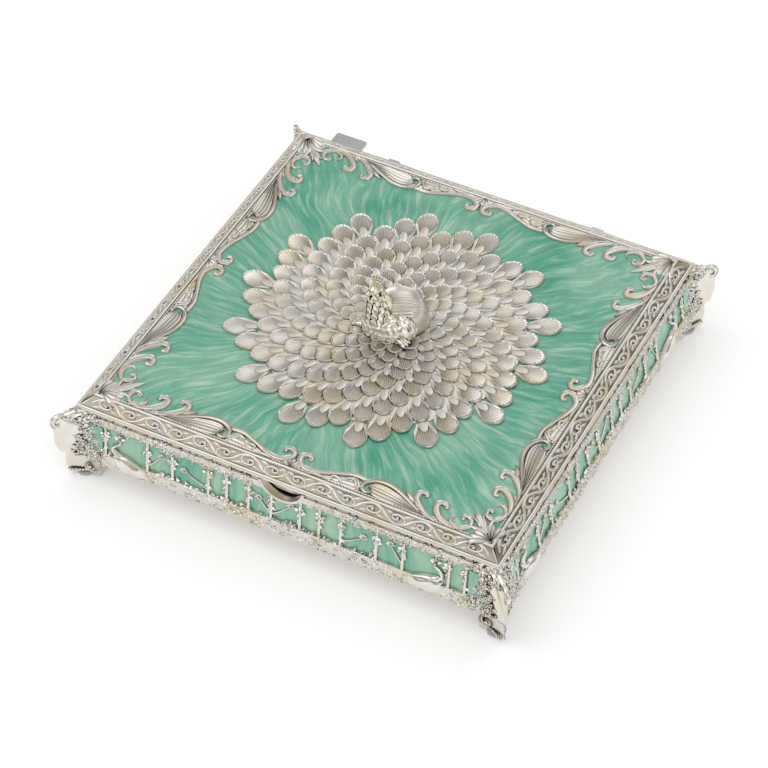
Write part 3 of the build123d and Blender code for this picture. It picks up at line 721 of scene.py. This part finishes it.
def on_band(x, v, h):
    """Point on the front band; v runs in millimetres from its middle, towards the inner bead."""
    share = (v / BAND_HALF_WIDTH + 1) / 2
    y = -(BAND_OUTER + (BAND_INNER - BAND_OUTER) * share)
    z = RIM_TOP - 0.5 + BAND_RISE * share
    return x, y - h * BAND_LEAN, z + h * BAND_UP


def vine_half_wave(start, up):
    """Half a wave of the vine from a start along the side, with its volute and leaves."""
    s = 1 if up else -1
    p = VINE_WAVE / 2

    def spots(*pairs):
        return [(start + u * p, v * s * BAND_HALF_WIDTH) for u, v in pairs]

    ribbon = spots((-0.1, -0.3), (0.1, 0.45), (0.34, 0.92), (0.62, 0.9), (0.88, 0.4), (1.1, -0.3))
    volute = spots((0.52, 0.92), (0.26, 0.66), (0.2, 0.06), (0.38, -0.5), (0.66, -0.4), (0.7, 0.12),
                   (0.52, 0.3), (0.45, 0.0))
    tail = spots((0.34, -0.42), (0.14, -0.7), (-0.1, -0.95))
    side_leaf = spots((0.66, -0.3), (0.84, -0.6), (1.02, -0.75))
    parts = [
        stem("vine_ribbon", ribbon, [2.0, 2.2, 1.9, 1.9, 2.2, 2.0], 1.0, place=on_band),
        stem("vine_volute", volute, [1.0, 1.7, 2.0, 2.1, 1.9, 1.6], 1.4, place=on_band),
        stem("vine_leaf", tail, [1.0, 2.6, 0.5], 1.2, place=on_band),
        stem("vine_leaf", side_leaf, [0.9, 2.2, 0.4], 1.1, place=on_band),
    ]
    dabs = [(BERRY, *spots((0.5, 0.0))[0], 1.2, 0, 0.9), (BERRY, *spots((0.8, 0.1))[0], 0.8, 0, 0.4)]
    parts.append(scatter("vine_berries", dabs, on_band))
    return parts


def make_band_ground():
    """Dished cells of the sloping band behind the vine, in a darker copy of the silver that paints their
    shade.
    """
    columns, rows = 250, 8
    points = []
    for r in range(rows + 1):
        v = r / rows * 2 - 1
        for c in range(columns + 1):
            reach = BAND_OUTER + (BAND_INNER - BAND_OUTER) * (v + 1) / 2 - 0.8
            x = reach * (c / columns * 2 - 1)
            wave = cos(TURN * (x / VINE_WAVE * 2 + 0.22 * v))
            height = 0.12 + 0.3 * v * v + 0.3 * (1 + wave) * (1 - 0.4 * v * v)
            points.append((x, v * BAND_HALF_WIDTH, height))
    strip = piece_from("band_ground", lay(points, on_band), grid_faces(rows + 1, columns + 1))
    ground = joined("band_ground", round_four(strip, False))
    return finish(ground, "lid", SHADED_BAND_SILVER, (), 60)


def rope(name, y, z, radius, length, pitch):
    """Bead with a fine twist, along the front."""
    steps = int(length / pitch) * 2
    sides = 6
    points = []
    for i in range(steps + 1):
        x = -length / 2 + length * i / steps
        r = radius * (1.0 if i % 2 else 0.84)
        for k in range(sides):
            a = TURN * k / sides + i * 0.35
            points.append((x, -y + r * cos(a), z + r * sin(a)))
    return piece_from(name, points, grid_faces(steps + 1, sides, True))


def make_band():
    """Vine on the sloping band, a heart in the middle of each side and the fine line inside the bead."""
    parts = []
    for i in range(8):
        parts += vine_half_wave(-BAND_INNER + 2.5 + i * VINE_WAVE / 2, i % 2 == 0)
    pieces = round_four(joined("vine_half", parts))
    heart = stem("heart", [(-4.5, 2.6), (-1.6, 2.6), (0, -0.6), (1.6, 2.6), (4.5, 2.6)],
                 [0.8, 1.4, 1.2, 1.4, 0.8], 1.2, place=on_band)
    line = rope("inner_line", BEAD_LINE - 2.0, FIELD_TOP + 0.3, 0.6, 2 * BEAD_LINE - 6, 1.5)
    pieces += round_four(joined("heart", [heart, line]), False)
    band = joined("band_vine", pieces)
    return finish(band, "lid", SILVER, (), 50)


# Bamboo grove, garland and flower band on the walls

POLE_LOW = BELLY_LEVEL - 0.5
POLE_HIGH = WALL_TOP - 10.0
GARLAND_LEVEL = WALL_TOP - 4.3
GARLAND_HALF = 2.7
SWAG = 31.0
FLOWER_LOW = WALL_BOTTOM + 0.6
FLOWER_HIGH = BELLY_LEVEL + 0.6
WALL_REACH = 138.0
# Twigs: foot, end and rise
BRANCHES = [(-51, -68, 0.45), (-7, -15.5, 0.6), (-7, 6.5, 0.75), (40.6, 56, 0.6), (-94, -84, 0.7),
            (83, 74, 0.8)]
SHELL_NECK = [(4, 12.6), (9.5, 14.4), (12.4, 17.6), (10.4, 20.6), (7.0, 23.4), (7.6, 26.4)]
SHELL_RIM = [(11.6, 12.4), (4, 13.6), (-4, 11.4), (-12.2, 8.0)]
NOTCH_GAP = [(-18.0, 18.0)]
TAB_GAP = [(98.0, 125.0)]
HINGE_GAPS = [(-89.0, -61.5), (61.5, 89.0), (99.0, 124.0)]


def bamboo(x, chance):
    """Pole with nodes, a tuft of drooping leaves near its top and a few lower leaves."""
    bend = chance.uniform(-1.0, 1.0)
    middle = (POLE_LOW + POLE_HIGH) / 2
    line = [(x, POLE_LOW), (x + 0.4 * bend, middle - 4), (x + 0.2 * bend, middle + 4),
            (x + bend * 0.5, POLE_HIGH)]
    parts = [stem("pole", line, [2.6, 2.0, 1.9, 1.7], 1.25, place=on_wall)]
    dabs = []
    for share in (0.3, 0.62, 0.86):
        z = POLE_LOW + (POLE_HIGH - POLE_LOW) * share
        dabs += [(BERRY, x + 0.3 * bend + 0.55 * side, z, 0.85, 0, 0.25) for side in (-1, 0, 1)]
    for _ in range(11):
        turn = radians(-90 + chance.uniform(-115, 115))
        z = POLE_HIGH - 4.5 + chance.uniform(-1.6, 3.0)
        dabs.append((LEAFLET, x + chance.uniform(-1, 1), z, chance.uniform(2.8, 4.2), turn, 0.3))
    for _ in range(3):
        turn = radians(-90 + chance.choice((-60, 60)) + chance.uniform(-15, 15))
        z = middle + chance.uniform(-4.5, 2.0)
        dabs.append((LEAFLET, x, z, chance.uniform(2.6, 3.8), turn, 0.4))
    parts.append(scatter("bamboo_leaves", dabs, on_wall))
    return parts


def branch(x, end, rise):
    """Slanting twig that ends in a sprig of leaves and a blossom."""
    low, high = POLE_LOW + 4, POLE_LOW + 4 + rise * (POLE_HIGH - POLE_LOW - 4)
    line = [(x, low), ((x + end) / 2, low + (high - low) * 0.42), (end, high)]
    parts = [stem("twig", line, [1.3, 0.9, 0.5], 0.8, place=on_wall)]
    dabs = [(BLOSSOM, end, high, 1.7, 0.3, 0.1)]
    for k in range(5):
        dabs.append((LEAFLET, end, high, 3.2, radians(90 + 45 * (k - 2)), 0.1))
    parts.append(scatter("twig_sprig", dabs, on_wall))
    return parts


def floral_band(name, chance, ranges, level_of, half_of, density, sizes):
    """Dense band of leaves, berries and blossoms within ranges along the wall."""
    dabs = []
    for start, end in ranges:
        for _ in range(int((end - start) * density)):
            x = chance.uniform(start, end)
            z = level_of(x) + half_of(x) * chance.uniform(-1, 1)
            kind = chance.random()
            size = chance.uniform(*sizes)
            lift = chance.uniform(0.0, 0.7)
            if kind < 0.6:
                dabs.append((LEAFLET, x, z, size * 1.5, chance.uniform(0, 2 * pi), lift + 0.2))
            elif kind < 0.84:
                dabs.append((BERRY, x, z, size * 0.42, 0, lift))
            else:
                dabs.append((BLOSSOM, x, z, size * 0.85, chance.uniform(0, 1), lift))
    return scatter(name, dabs, on_wall)


def garland_level(x):
    return GARLAND_LEVEL - 1.1 * sin(pi * x / SWAG) ** 2


def garland_half(x):
    return GARLAND_HALF * (0.75 + 0.45 * sin(pi * x / SWAG) ** 2)


def flower_level(x):
    return (FLOWER_LOW + FLOWER_HIGH) / 2 + 0.7 * sin(x / 7.0)


def flower_half(x):
    return (FLOWER_HIGH - FLOWER_LOW) / 2 - 0.3 + 0.5 * sin(x / 4.3)


def open_ranges(gaps):
    """Stretches of the wall's top that the gaps leave."""
    ranges = []
    start = -WALL_REACH
    for low, high in gaps:
        ranges.append((start, low))
        start = high
    ranges.append((start, WALL_REACH))
    return ranges


def rocaille(x, side):
    """Smooth shell shape low on the wall, with a curled neck that rises from one end."""
    points = []
    rows, columns = 12, 18
    for r in range(rows + 1):
        for c in range(columns + 1):
            u = (c / columns - 0.5) * 2
            v = (r / rows - 0.5) * 2
            top = 5.6 - 3.4 * (u * side * 0.5 + 0.5) ** 1.4
            z = WALL_BOTTOM + 7.6 + v * (top if v > 0 else 8.4 - 2.0 * u * u)
            bulge = sqrt(max(0.0, 1 - u * u)) * sqrt(max(0.0, 1 - v * v))
            fold = 0.35 * sin(6.5 * u * side + 3.2 * v) if bulge > 0.2 else 0
            points.append((x + 12.5 * u, z, 3.4 * bulge + fold - 0.2))
    body = piece_from("shell_body", lay(points, on_wall), grid_faces(rows + 1, columns + 1))
    neck, rim = [[(x - u * side, WALL_BOTTOM + v) for u, v in line] for line in (SHELL_NECK, SHELL_RIM)]
    parts = [body, stem("shell_neck", neck, [3.0, 3.6, 3.0, 2.4, 1.8, 0.8], 3.0, place=on_wall),
             stem("shell_rim", rim, [1.2, 2.2, 1.6, 0.8], 3.6, place=on_wall)]
    dabs = [(LEAFLET, x - 7.4 * side, WALL_BOTTOM + 26, 4.2, radians(t), 0.4) for t in (20, 60, 100, 140, 170)]
    dabs += [(BERRY, x - (12.6 - 1.3 * k) * side, WALL_BOTTOM + 15.6 + 0.4 * k, 1.1, 0, 1.0) for k in range(3)]
    parts.append(scatter("shell_leaves", dabs, on_wall))
    return parts


def is_clear(x, gaps):
    return all(not low < x < high for low, high in gaps)


def wall_relief(name, chance, gaps):
    """Grove, shells and flower band of one wall, outside the gaps."""
    parts = []
    for share in POLE_SHARES:
        if is_clear(share * BLOCK_EDGE, gaps):
            parts += bamboo(share * BLOCK_EDGE, chance)
    for x, end, rise in BRANCHES:
        parts += branch(x, end, rise)
    parts += rocaille(-106, 1)
    if gaps:
        ranges, foot = [(-WALL_REACH, -119), (-93, gaps[0][0]), (gaps[0][1], WALL_REACH)], [(-120, -92)]
    else:
        parts += rocaille(97, -1)
        ranges, foot = [(-WALL_REACH, -119), (-93, 84), (110, WALL_REACH)], [(-120, -92), (83, 111)]
    parts.append(floral_band("flower_band", chance, ranges, flower_level, flower_half, 5.2, (1.9, 3.0)))
    parts.append(floral_band("flower_foot", chance, foot, lambda x: FLOWER_LOW + 1.0, lambda x: 1.2, 2.4,
                             (1.6, 2.4)))
    return joined(name, parts)


def make_walls():
    """Relief of the four walls; the garland leaves room for the notch, the hinges and the stop tab."""
    chance = random.Random(11)
    relief = wall_relief("relief_front", chance, [])
    back = wall_relief("relief_back", chance, TAB_GAP)
    pieces = [relief, copy_of(relief, turned(1)), back, copy_of(relief, turned(-1))]
    back.data.transform(turned(2))
    for turn, gaps in enumerate((NOTCH_GAP, [], HINGE_GAPS, [])):
        garland = floral_band("garland", chance, open_ranges(gaps), garland_level, garland_half, 6.0,
                              (1.4, 2.3))
        garland.data.transform(turned(turn))
        pieces.append(garland)
    for k, (piece, side) in enumerate(zip(pieces, ("front", "right", "back", "left") * 2)):
        piece.name = ("relief_" if k < 4 else "garland_") + side
        finish(piece, "base", CAST_SILVER, (), 40)


# Corner posts: flared corner, curled ear and leaf wrapped leg

FOLD_DEPTH = 0.55
EAR_LINE = [(2.0, -4.4), (8.0, -4.6), (13.0, -5.2), (15.6, -8.4), (14.6, -12.0), (11.6, -12.2), (10.8, -9.8)]
POST_LEVELS = 30
WALL_CRUST_TRIES = 260
EAR_CRUST = 60


def corner_ring(z, start, wide, reach, lift):
    """Level outline of a corner from the front wall round its edge to the side wall, and back inside."""
    steps = 22
    edge = LID_HALF + reach / sqrt(2)
    front = []
    for i in range(steps + 1):
        x = start + (edge - start) * i / steps
        share = i / steps
        skin = wide + lift * (1 - share)
        fold = FOLD_DEPTH * sin(pi * share) * cos(share * 21 + z * 0.35) if lift else 0
        front.append((x, -(skin + (edge - skin) * share ** 1.9 + fold)))
    ring = front + [(-y, -x) for x, y in reversed(front[:-1])]
    ring.append((start, -start))
    return [(x, y, z) for x, y in ring]


def ring_solid(name, rings):
    """Closed piece through level rings that have the same number of points."""
    columns = len(rings[0])
    points = [point for ring in rings for point in ring]
    faces = grid_faces(len(rings), columns, True)
    faces.append(tuple(range(columns)))
    faces.append(tuple(range((len(rings) - 1) * columns, len(rings) * columns)))
    return piece_from(name, points, faces)


def in_corner_plane(d, z, h):
    """Point in the front right corner's upright diagonal plane, h to one side."""
    s = 1 / sqrt(2)
    return LID_HALF + (d + h) * s, -LID_HALF - (d - h) * s, z


def ear(name):
    """Curled scroll at the top of a corner's edge, with twisted edges."""
    line = [(d, WALL_TOP + z) for d, z in EAR_LINE]
    halves = []
    for sign in (1, -1):
        halves.append(stem(name, line, [1.6, 2.6, 3.6, 3.8, 3.2, 2.6], 1.5, ROPE_SECTION,
                           lambda x, y, h, sign=sign: in_corner_plane(x, y, sign * (h + 0.25))))
    return halves


def make_posts():
    """Front right post, mirrored in its own shape, then turned to the other corners."""
    chance = random.Random(5)
    low = WALL_BOTTOM + 0.2
    heights = [low + (WALL_TOP - WALL_BOTTOM - 0.2) * i / POST_LEVELS for i in range(POST_LEVELS + 1)]
    body = [corner_ring(z, BLOCK_EDGE, wall_skin(z), corner_reach(z), 0.2) for z in heights]
    leg = [corner_ring(z, LID_HALF - size, LID_HALF + 0.5, reach, 0.0) for z, size, reach in LEG_LEVELS]
    box = ((LUG_EDGE, -141), (141, -141), (141, -LUG_EDGE), (LUG_EDGE, -LUG_EDGE))
    lug = [[(x, y, z) for x, y in box] for z in (LUG_LOW, LUG_HIGH)]
    parts = [ring_solid("post_body", body), ring_solid("post_leg", leg), ring_solid("post_lug", lug)]
    parts += ear("post_ear")
    crust = []
    for _ in range(WALL_CRUST_TRIES):
        x = chance.uniform(130, 150)
        z = chance.uniform(20, 45)
        if x < 144.5 - 0.014 * (z - 24) ** 2 + 2.0 * sin(z * 0.9) and x > 131 + 2.5 * sin(z * 0.5):
            size = chance.uniform(1.7, 2.7)
            form = chance.choice((LEAFLET, LEAFLET, BLOSSOM, BERRY))
            crust.append((form, x, z, size * (0.42 if form is BERRY else 1.0), chance.uniform(0, 6.2), 0.3))
    for _ in range(EAR_CRUST):
        x, z = chance.uniform(129, 150), WALL_TOP - chance.uniform(3.6, 9.5)
        form = chance.choice((LEAFLET, LEAFLET, BERRY))
        crust.append((form, x, z, 1.1 if form is BERRY else 2.8, chance.uniform(0, 6.2), 0.2))
    crust.append((BLOSSOM, 136, WALL_TOP - 8.2, 4.0, 0.4, 0.4))
    crust.append((BERRY, 136, WALL_TOP - 8.2, 1.7, 0, 1.4))
    crust_front = scatter("post_crust", crust, on_wall)
    mirror = Matrix(((0, -1, 0, 0), (-1, 0, 0, 0), (0, 0, 1, 0), (0, 0, 0, 1)))
    crust_side = copy_of(crust_front, mirror, True)
    parts += [crust_front, crust_side]
    parts += leg_leaves(mirror)
    post = joined("post_front_right", parts)
    posts = [post] + [copy_of(post, turned(turn)) for turn in (1, 2, 3)]
    for piece, corner in zip(posts, ("front_right", "back_right", "back_left", "front_left")):
        piece.name = "post_" + corner
        finish(piece, "base", CAST_SILVER, ["corner_post_" + corner], 45)


def leg_leaves(mirror):
    """Volutes on both sides of the foot and a collar of small leaves over its plate."""
    def on_leg(x, z, h):
        return x, -(LID_HALF + 0.4 + max(0.0, x - 139) * 0.55 + h), z

    volute = [(140.5, 17.0), (136.0, 13.4), (134.6, 9.4), (136.4, 6.0), (139.6, 6.2), (140.2, 9.0),
              (138.0, 9.8), (137.4, 8.4)]
    parts = [stem("leg_volute", volute, [1.4, 2.8, 3.4, 3.4, 3.0, 2.4], 2.4, ROPE_SECTION, on_leg)]
    dabs = [(LEAFLET, 135.6 + 2.0 * k, 5.6, 3.4, radians(-100 + 5 * k), 0.3) for k in range(8)]
    dabs += [(BERRY, 135.4 + 1.9 * k, 4.4, 1.1, 0, 0.4) for k in range(8)]
    dabs += [(BERRY, 138.2, 8.2, 1.5, 0, 1.2)]
    parts.append(scatter("leg_leaves", dabs, on_leg))
    return parts + [copy_of(piece, mirror, True) for piece in parts]


def make_corner_enamel():
    """Enamel that runs on from each panel over the start of the flared corner."""
    points = []
    rows, columns = 12, 8
    for r in range(rows + 1):
        z = BELLY_LEVEL - 0.4 + (TURN_LEVEL - BELLY_LEVEL) * r / rows
        for c in range(columns + 1):
            wide = 11.0 * sin(pi * (0.16 + 0.74 * r / rows)) ** 0.7
            points.append(on_wall(BLOCK_EDGE - 0.8 + wide * c / columns, z, 0.35 if c < columns else 0.0))
    patch = piece_from("corner_enamel", points, grid_faces(rows + 1, columns + 1))
    enamel = joined("corner_enamel", round_four(patch))
    return finish(enamel, "base", WALL_ENAMEL, (), 40)


# Peacock, in millimetres over its seat

TAIL_PLACE = (3.0, 4.0)
TAIL_HALVES = (19.0, 17.6, 23.0)
TAIL_BEARING = radians(32)
BREAST = [((-4.6, -9.0, 5.0), (10.6, 9.8, 13.4), 3.6), ((1.6, -9.2, 4.0), (11.8, 9.6, 12.0), 3.6),
          ((9.0, -5.6, 4.0), (9.8, 9.4, 11.0), 4.0)]
BREAST_TURNS = (radians(-225), radians(45))
BREAST_RISES = (-0.2, 1.25)
NECK_LINE = [(-4.6, -9.4, 12), (-6.0, -8.8, 19), (-7.2, -7.8, 25), (-7.6, -7.2, 30)]
NECK_RADII = [8.8, 6.4, 4.8, 3.9]
NECK_TURNS = (radians(-235), radians(-5))
MANE_LINE = [(-6.6, -6.0, 32.5), (-5.0, -5.6, 26), (-2.6, -4.6, 19), (0, -2, 12)]
HEAD = (-8.0, -8.0, 30.6)
BEAK_LINE = [(-9.6, -11.4, 30.6), (-10.6, -13.6, 29.4), (-11.2, -15.2, 27.4)]
FEET = [(-12.5, -12.6, 168), (9.5, -14.0, -10)]
SCALE = ([(0, 0, 0.05), (0.25, 0.46, 0.22), (0.25, -0.46, 0.22), (0.72, 0.5, 0.4), (0.72, -0.5, 0.4),
          (1.04, 0.2, 0.46), (1.04, -0.2, 0.46), (0.58, 0, 0.1), (0.76, 0.58, -0.15), (0.76, -0.58, -0.15),
          (1.14, 0.22, -0.15), (1.14, -0.22, -0.15)],
         [(0, 7, 1), (0, 2, 7), (1, 7, 3), (2, 4, 7), (3, 7, 5), (4, 6, 7), (5, 7, 6), (3, 5, 10, 8),
          (4, 9, 11, 6), (5, 6, 11, 10)])
SCALE_RELIEF = 0.55


def seated(*spots):
    """Spots given over the seat, in the box's own heights."""
    return [(x, y, SEAT_TOP + z) for x, y, z in spots]


def dome_point(centre, radii, turn, rise):
    """Point on an ellipsoid by its bearing and its elevation, in radians."""
    x, y, z = centre
    a, b, c = radii
    return x + a * cos(rise) * cos(turn), y + b * cos(rise) * sin(turn), z + c * sin(rise)


def dome(name, centre, radii, rows=12, columns=28, low=-0.35):
    """Ellipsoid from a low elevation up to its top."""
    top = pi / 2 - 0.02
    rises = [low + (top - low) * r / rows for r in range(rows + 1)]
    return ring_solid(name, [[dome_point(centre, radii, TURN * c / columns, rise) for c in range(columns)]
                             for rise in rises])


def scales_on(name, centre, radii, size):
    """Overlapping scales on an ellipsoid, row by row, each pointing down its slope."""
    points, faces = [], []
    first, last = BREAST_TURNS
    low, high = BREAST_RISES
    rows = int((high - low) * radii[2] / (size * 0.62))
    for r in range(rows + 1):
        rise = low + (high - low) * r / max(rows, 1)
        ring = max(2, int((last - first) * radii[0] * cos(rise) / (size * 0.92)))
        for k in range(ring + 1):
            turn = first + (last - first) * (k + 0.5 * (r % 2)) / ring
            spot = Vector(dome_point(centre, radii, turn, rise))
            along = (Vector(dome_point(centre, radii, turn, rise - 0.05)) - spot).normalized()
            across = (Vector(dome_point(centre, radii, turn + 0.05, rise)) - spot).normalized()
            out = across.cross(along).normalized()
            if out.dot(spot - Vector(centre)) < 0:
                out = -out
            add_form(points, faces, SCALE, lambda u, v, w: tuple(
                spot + (along * (u - 0.5) + across * v + out * w * SCALE_RELIEF) * size))
    return piece_from(name, points, faces)


def tube(name, spine, radii, sides=8, steps=5):
    """Round tapering tube along a smooth spine in space."""
    line = curve_points(spine, steps)
    count = len(line) - 1
    rings = []
    for i, centre in enumerate(line):
        along = (line[min(i + 1, count)] - line[max(i - 1, 0)]).normalized()
        side = along.cross(Vector((0.2, 1, 0.1))).normalized()
        other = along.cross(side)
        r = part_way(radii, i / count)
        turns = [TURN * k / sides for k in range(sides)]
        rings.append([tuple(centre + (side * cos(a) + other * sin(a)) * r) for a in turns])
    return ring_solid(name, rings)


def scales_round(name, spine, radii, rows, size):
    """Scales that lie down the neck, between two turns round it."""
    line = curve_points(spine, 8)
    start, end = NECK_TURNS
    points, faces = [], []
    for row in range(rows):
        spot = (row + 0.5) / rows * (len(line) - 1)
        i = min(int(spot), len(line) - 2)
        centre = line[i].lerp(line[i + 1], spot - i)
        down = (line[i] - line[i + 1]).normalized()
        radius = part_way(radii, (row + 0.5) / rows)
        count = max(3, int((end - start) * radius / (size * 0.86)))
        for k in range(count + 1):
            turn = start + (end - start) * (k + 0.5 * (row % 2)) / count
            out = Vector((cos(turn), sin(turn), 0))
            out = (out - down * out.dot(down)).normalized()
            across = out.cross(down)
            base = centre + out * radius
            add_form(points, faces, SCALE,
                     lambda u, v, w: tuple(base + (down * (u - 0.5) + across * v + out * w) * size))
    return piece_from(name, points, faces)


def give_to_lid(name, parts, material, angle):
    """Joins parts of the peacock and puts them in the place of their node."""
    finish(joined(name, parts), "lid", material, [name], angle)


def make_tail():
    """Folded fan tail with ribs."""
    x, y = TAIL_PLACE
    length, width, height = TAIL_HALVES
    ribs, rows = 30, 20
    points = []
    for r in range(rows + 1):
        polar = pi * (0.03 + 0.94 * r / rows)
        swell = sin(polar) ** 0.8
        along = -cos(polar) * length
        for k in range(2 * ribs + 1):
            roll = pi * k / (2 * ribs)
            ripple = 1.0 if k % 2 else 0.965
            aside = swell * cos(roll) * width * ripple
            up = swell * sin(roll) * height * ripple * (1.04 - 0.12 * cos(polar) ** 2)
            points.append((x + along * cos(TAIL_BEARING) - aside * sin(TAIL_BEARING),
                           y + along * sin(TAIL_BEARING) + aside * cos(TAIL_BEARING), SEAT_TOP + up))
    tail = piece_from("peacock_tail", points, grid_faces(rows + 1, 2 * ribs + 1))
    give_to_lid("peacock_tail", [tail], TAIL_SILVER, 60)


def make_neck():
    """Scaled breast and wing, neck, mane, and head with its beak and eyes."""
    body = []
    for spot, radii, size in BREAST:
        centre = seated(spot)[0]
        body += [dome("breast", centre, radii), scales_on("breast_scales", centre, radii, size)]
    neck_line = seated(*NECK_LINE)
    body += [tube("neck", neck_line, NECK_RADII, 16),
             scales_round("neck_scales", neck_line, NECK_RADII, 7, 3.9),
             tube("mane", seated(*MANE_LINE), [3.0, 3.8, 5.4, 7.5], 24),
             dome("head", seated(HEAD)[0], (4.0, 4.6, 3.9), 10, 20, -1.45),
             tube("beak", seated(*BEAK_LINE), [2.0, 1.3, 0.3])]
    for side in (-1, 1):
        centre = seated((-8.2 + 3.5 * side, -10.2 + 0.6 * side, 31.4))[0]
        body.append(dome("eye", centre, (0.8, 0.8, 0.8), 5, 10, -1.4))
    give_to_lid("peacock_neck_head", body, PEACOCK_SILVER, 45)


def make_crest():
    """Fan of plumes on the head, each with three beads."""
    plumes = []
    for k in range(5):
        lean = (k - 1.4) * 0.3
        root, tip = seated((-7.4 + 1.2 * sin(lean), -7.0, 33.4),
                           (-7.2 + 6.6 * sin(lean), -6.6 + 1.2 * sin(lean), 34.0 + 8.2 * cos(lean)))
        for share in (0.45, 0.75, 1.0):
            knot = tuple(q + (p - q) * share for p, q in zip(tip, root))
            plumes.append(dome("plume_tip", knot, (1.25, 1.1, 1.4), 5, 8, -1.4))
        middle = tuple((p + q) / 2 for p, q in zip(tip, root))
        plumes.append(tube("plume", [root, middle, tip], [0.9, 0.6, 0.5], 6, 3))
    give_to_lid("peacock_crest", plumes, PEACOCK_SILVER, 50)


def make_feet():
    """Legs and splayed toes with knuckles."""
    feet = []
    for x, y, heading in FEET:
        for turn in (-17, 0, 17):
            a = radians(heading + turn)
            spots = [(x + r * cos(a), y + r * sin(a), z) for r, z in ((0, 2.2), (5, 2.2), (9.6, 0.8))]
            feet.append(tube("toe", seated(*spots), [1.7, 1.5, 0.6]))
            for reach in (2.8, 5.4, 7.8):
                joint = seated((x + reach * cos(a), y + reach * sin(a), 2.2 - 0.1 * reach))[0]
                feet.append(dome("toe_joint", joint, (1.5, 1.5, 1.7 - 0.08 * reach), 5, 8, -0.6))
        leg = seated((x * 0.6, y + 2.0, 8), (x * 0.9, y, 4), (x, y, 1))
        feet.append(tube("leg", leg, [2.8, 2.4, 2.2]))
    give_to_lid("peacock_feet", feet, PEACOCK_SILVER, 45)


# Finish of the CAD pieces that show as they are

NODE_FINISH = {
    "wall_enamel": WALL_ENAMEL, "lid_enamel": LID_ENAMEL, "floor_lining": VELVET, "lid_lining": VELVET,
    "foot_pads": CLEAR_PAD, "stop_buffer": DARK_RUBBER, "hinge": STEEL, "stop_tab": STEEL,
    "floor_screws": STEEL, "peacock_screw": STEEL,
}


def dress_nodes():
    """Gives each node of the solids its finish."""
    for name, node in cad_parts.items():
        material = SILVER
        for start, finish_material in NODE_FINISH.items():
            if name.startswith(start):
                material = finish_material
        node.data.materials.clear()
        node.data.materials.append(material)


# Studio

FLOOR_SIZE = 12.0
FLOOR_LIFT = 0.2
SKY_STRENGTH = 1.0
SKY_LOW = -0.1
SKY_STOPS = [(0.0, (1.0, 1.0, 1.0)), (0.14, (1.0, 1.0, 1.0)), (0.24, (0.27, 0.27, 0.27)),
             (0.55, (0.5, 0.5, 0.5)), (0.72, (0.72, 0.715, 0.70)), (1.0, (0.68, 0.68, 0.68))]
# Lamps: name, place, size and power
LAMPS = [("key", (-0.9, -0.5, 1.5), 1.7, 7.5), ("fill", (1.3, -0.8, 1.0), 1.6, 4.6),
         ("back", (0.3, 1.3, 1.3), 1.5, 4.0)]


def camera_view(tree):
    """One for what the camera sees itself, in metal or through glass."""
    path = add(tree, "LightPath").outputs
    seen = reckon(tree, "Math", "ADD", path["Is Camera Ray"], path["Is Glossy Ray"], use_clamp=True)[0]
    return reckon(tree, "Math", "ADD", seen, path["Is Transmission Ray"], use_clamp=True)[0]


def make_floor():
    bpy.ops.mesh.primitive_plane_add(size=FLOOR_SIZE, location=(0, 0, 0))
    floor = bpy.context.active_object
    floor.name = "floor"
    material, tree, surface = new_material("floor")
    seen = camera_view(tree)
    set_node(tree, surface, Base_Color=mixed(tree, seen, (0.8, 0.8, 0.8), (1.0, 1.0, 1.0)), Roughness=0.9,
             Specular_IOR_Level=0.1, Emission_Color=(1, 1, 1),
             Emission_Strength=reckon(tree, "Math", "MULTIPLY", seen, FLOOR_LIFT)[0])
    floor.data.materials.append(material)


def make_sky():
    world = bpy.data.worlds.new("studio")
    bpy.context.scene.world = world
    world.use_nodes = True
    tree = world.node_tree
    place = add(tree, "TexCoord").outputs["Generated"]
    upward = add(tree, "SeparateXYZ", Vector=place).outputs["Z"]
    height = add(tree, "MapRange", Value=upward, From_Min=SKY_LOW).outputs["Result"]
    set_node(tree, tree.nodes["Background"], Color=ramp(tree, height, SKY_STOPS), Strength=SKY_STRENGTH)


def make_lamps():
    for name, place, size, power in LAMPS:
        data = bpy.data.lights.new(name, "AREA")
        data.size = size
        data.energy = power
        lamp = bpy.data.objects.new(name, data)
        bpy.context.collection.objects.link(lamp)
        lamp.location = place
        lamp.rotation_euler = (Vector((0, 0, 0.05)) - Vector(place)).to_track_quat("-Z", "Y").to_euler()


def make_camera():
    azimuth, elevation = radians(CAMERA_AZIMUTH), radians(CAMERA_ELEVATION)
    roll = radians(CAMERA_ROLL)
    back = Vector((sin(azimuth) * cos(elevation), -cos(azimuth) * cos(elevation),
                   sin(elevation)))
    right = Vector((cos(azimuth), sin(azimuth), 0))
    up = back.cross(right)
    across = cos(roll) * right + sin(roll) * up
    upward = -sin(roll) * right + cos(roll) * up
    data = bpy.data.cameras.new("camera")
    data.lens = CAMERA_LENS
    data.sensor_width = 36.0
    data.clip_end = 20.0
    camera = bpy.data.objects.new("camera", data)
    bpy.context.collection.objects.link(camera)
    camera.matrix_world = Matrix((
        (across.x, upward.x, back.x, 0), (across.y, upward.y, back.y, 0), (across.z, upward.z, back.z, 0),
        (0, 0, 0, 1)))
    camera.location = (CAMERA_TARGET + back * CAMERA_DISTANCE) * MM
    bpy.context.scene.camera = camera


make_camera()
make_floor()
make_sky()
make_lamps()
dress_nodes()
make_rosette()
make_rosette_bed()
make_border()
make_band()
make_band_ground()
make_tail()
make_neck()
make_crest()
make_feet()
make_walls()
make_posts()
make_corner_enamel()
bpy.context.scene.view_settings.view_transform = "Standard"
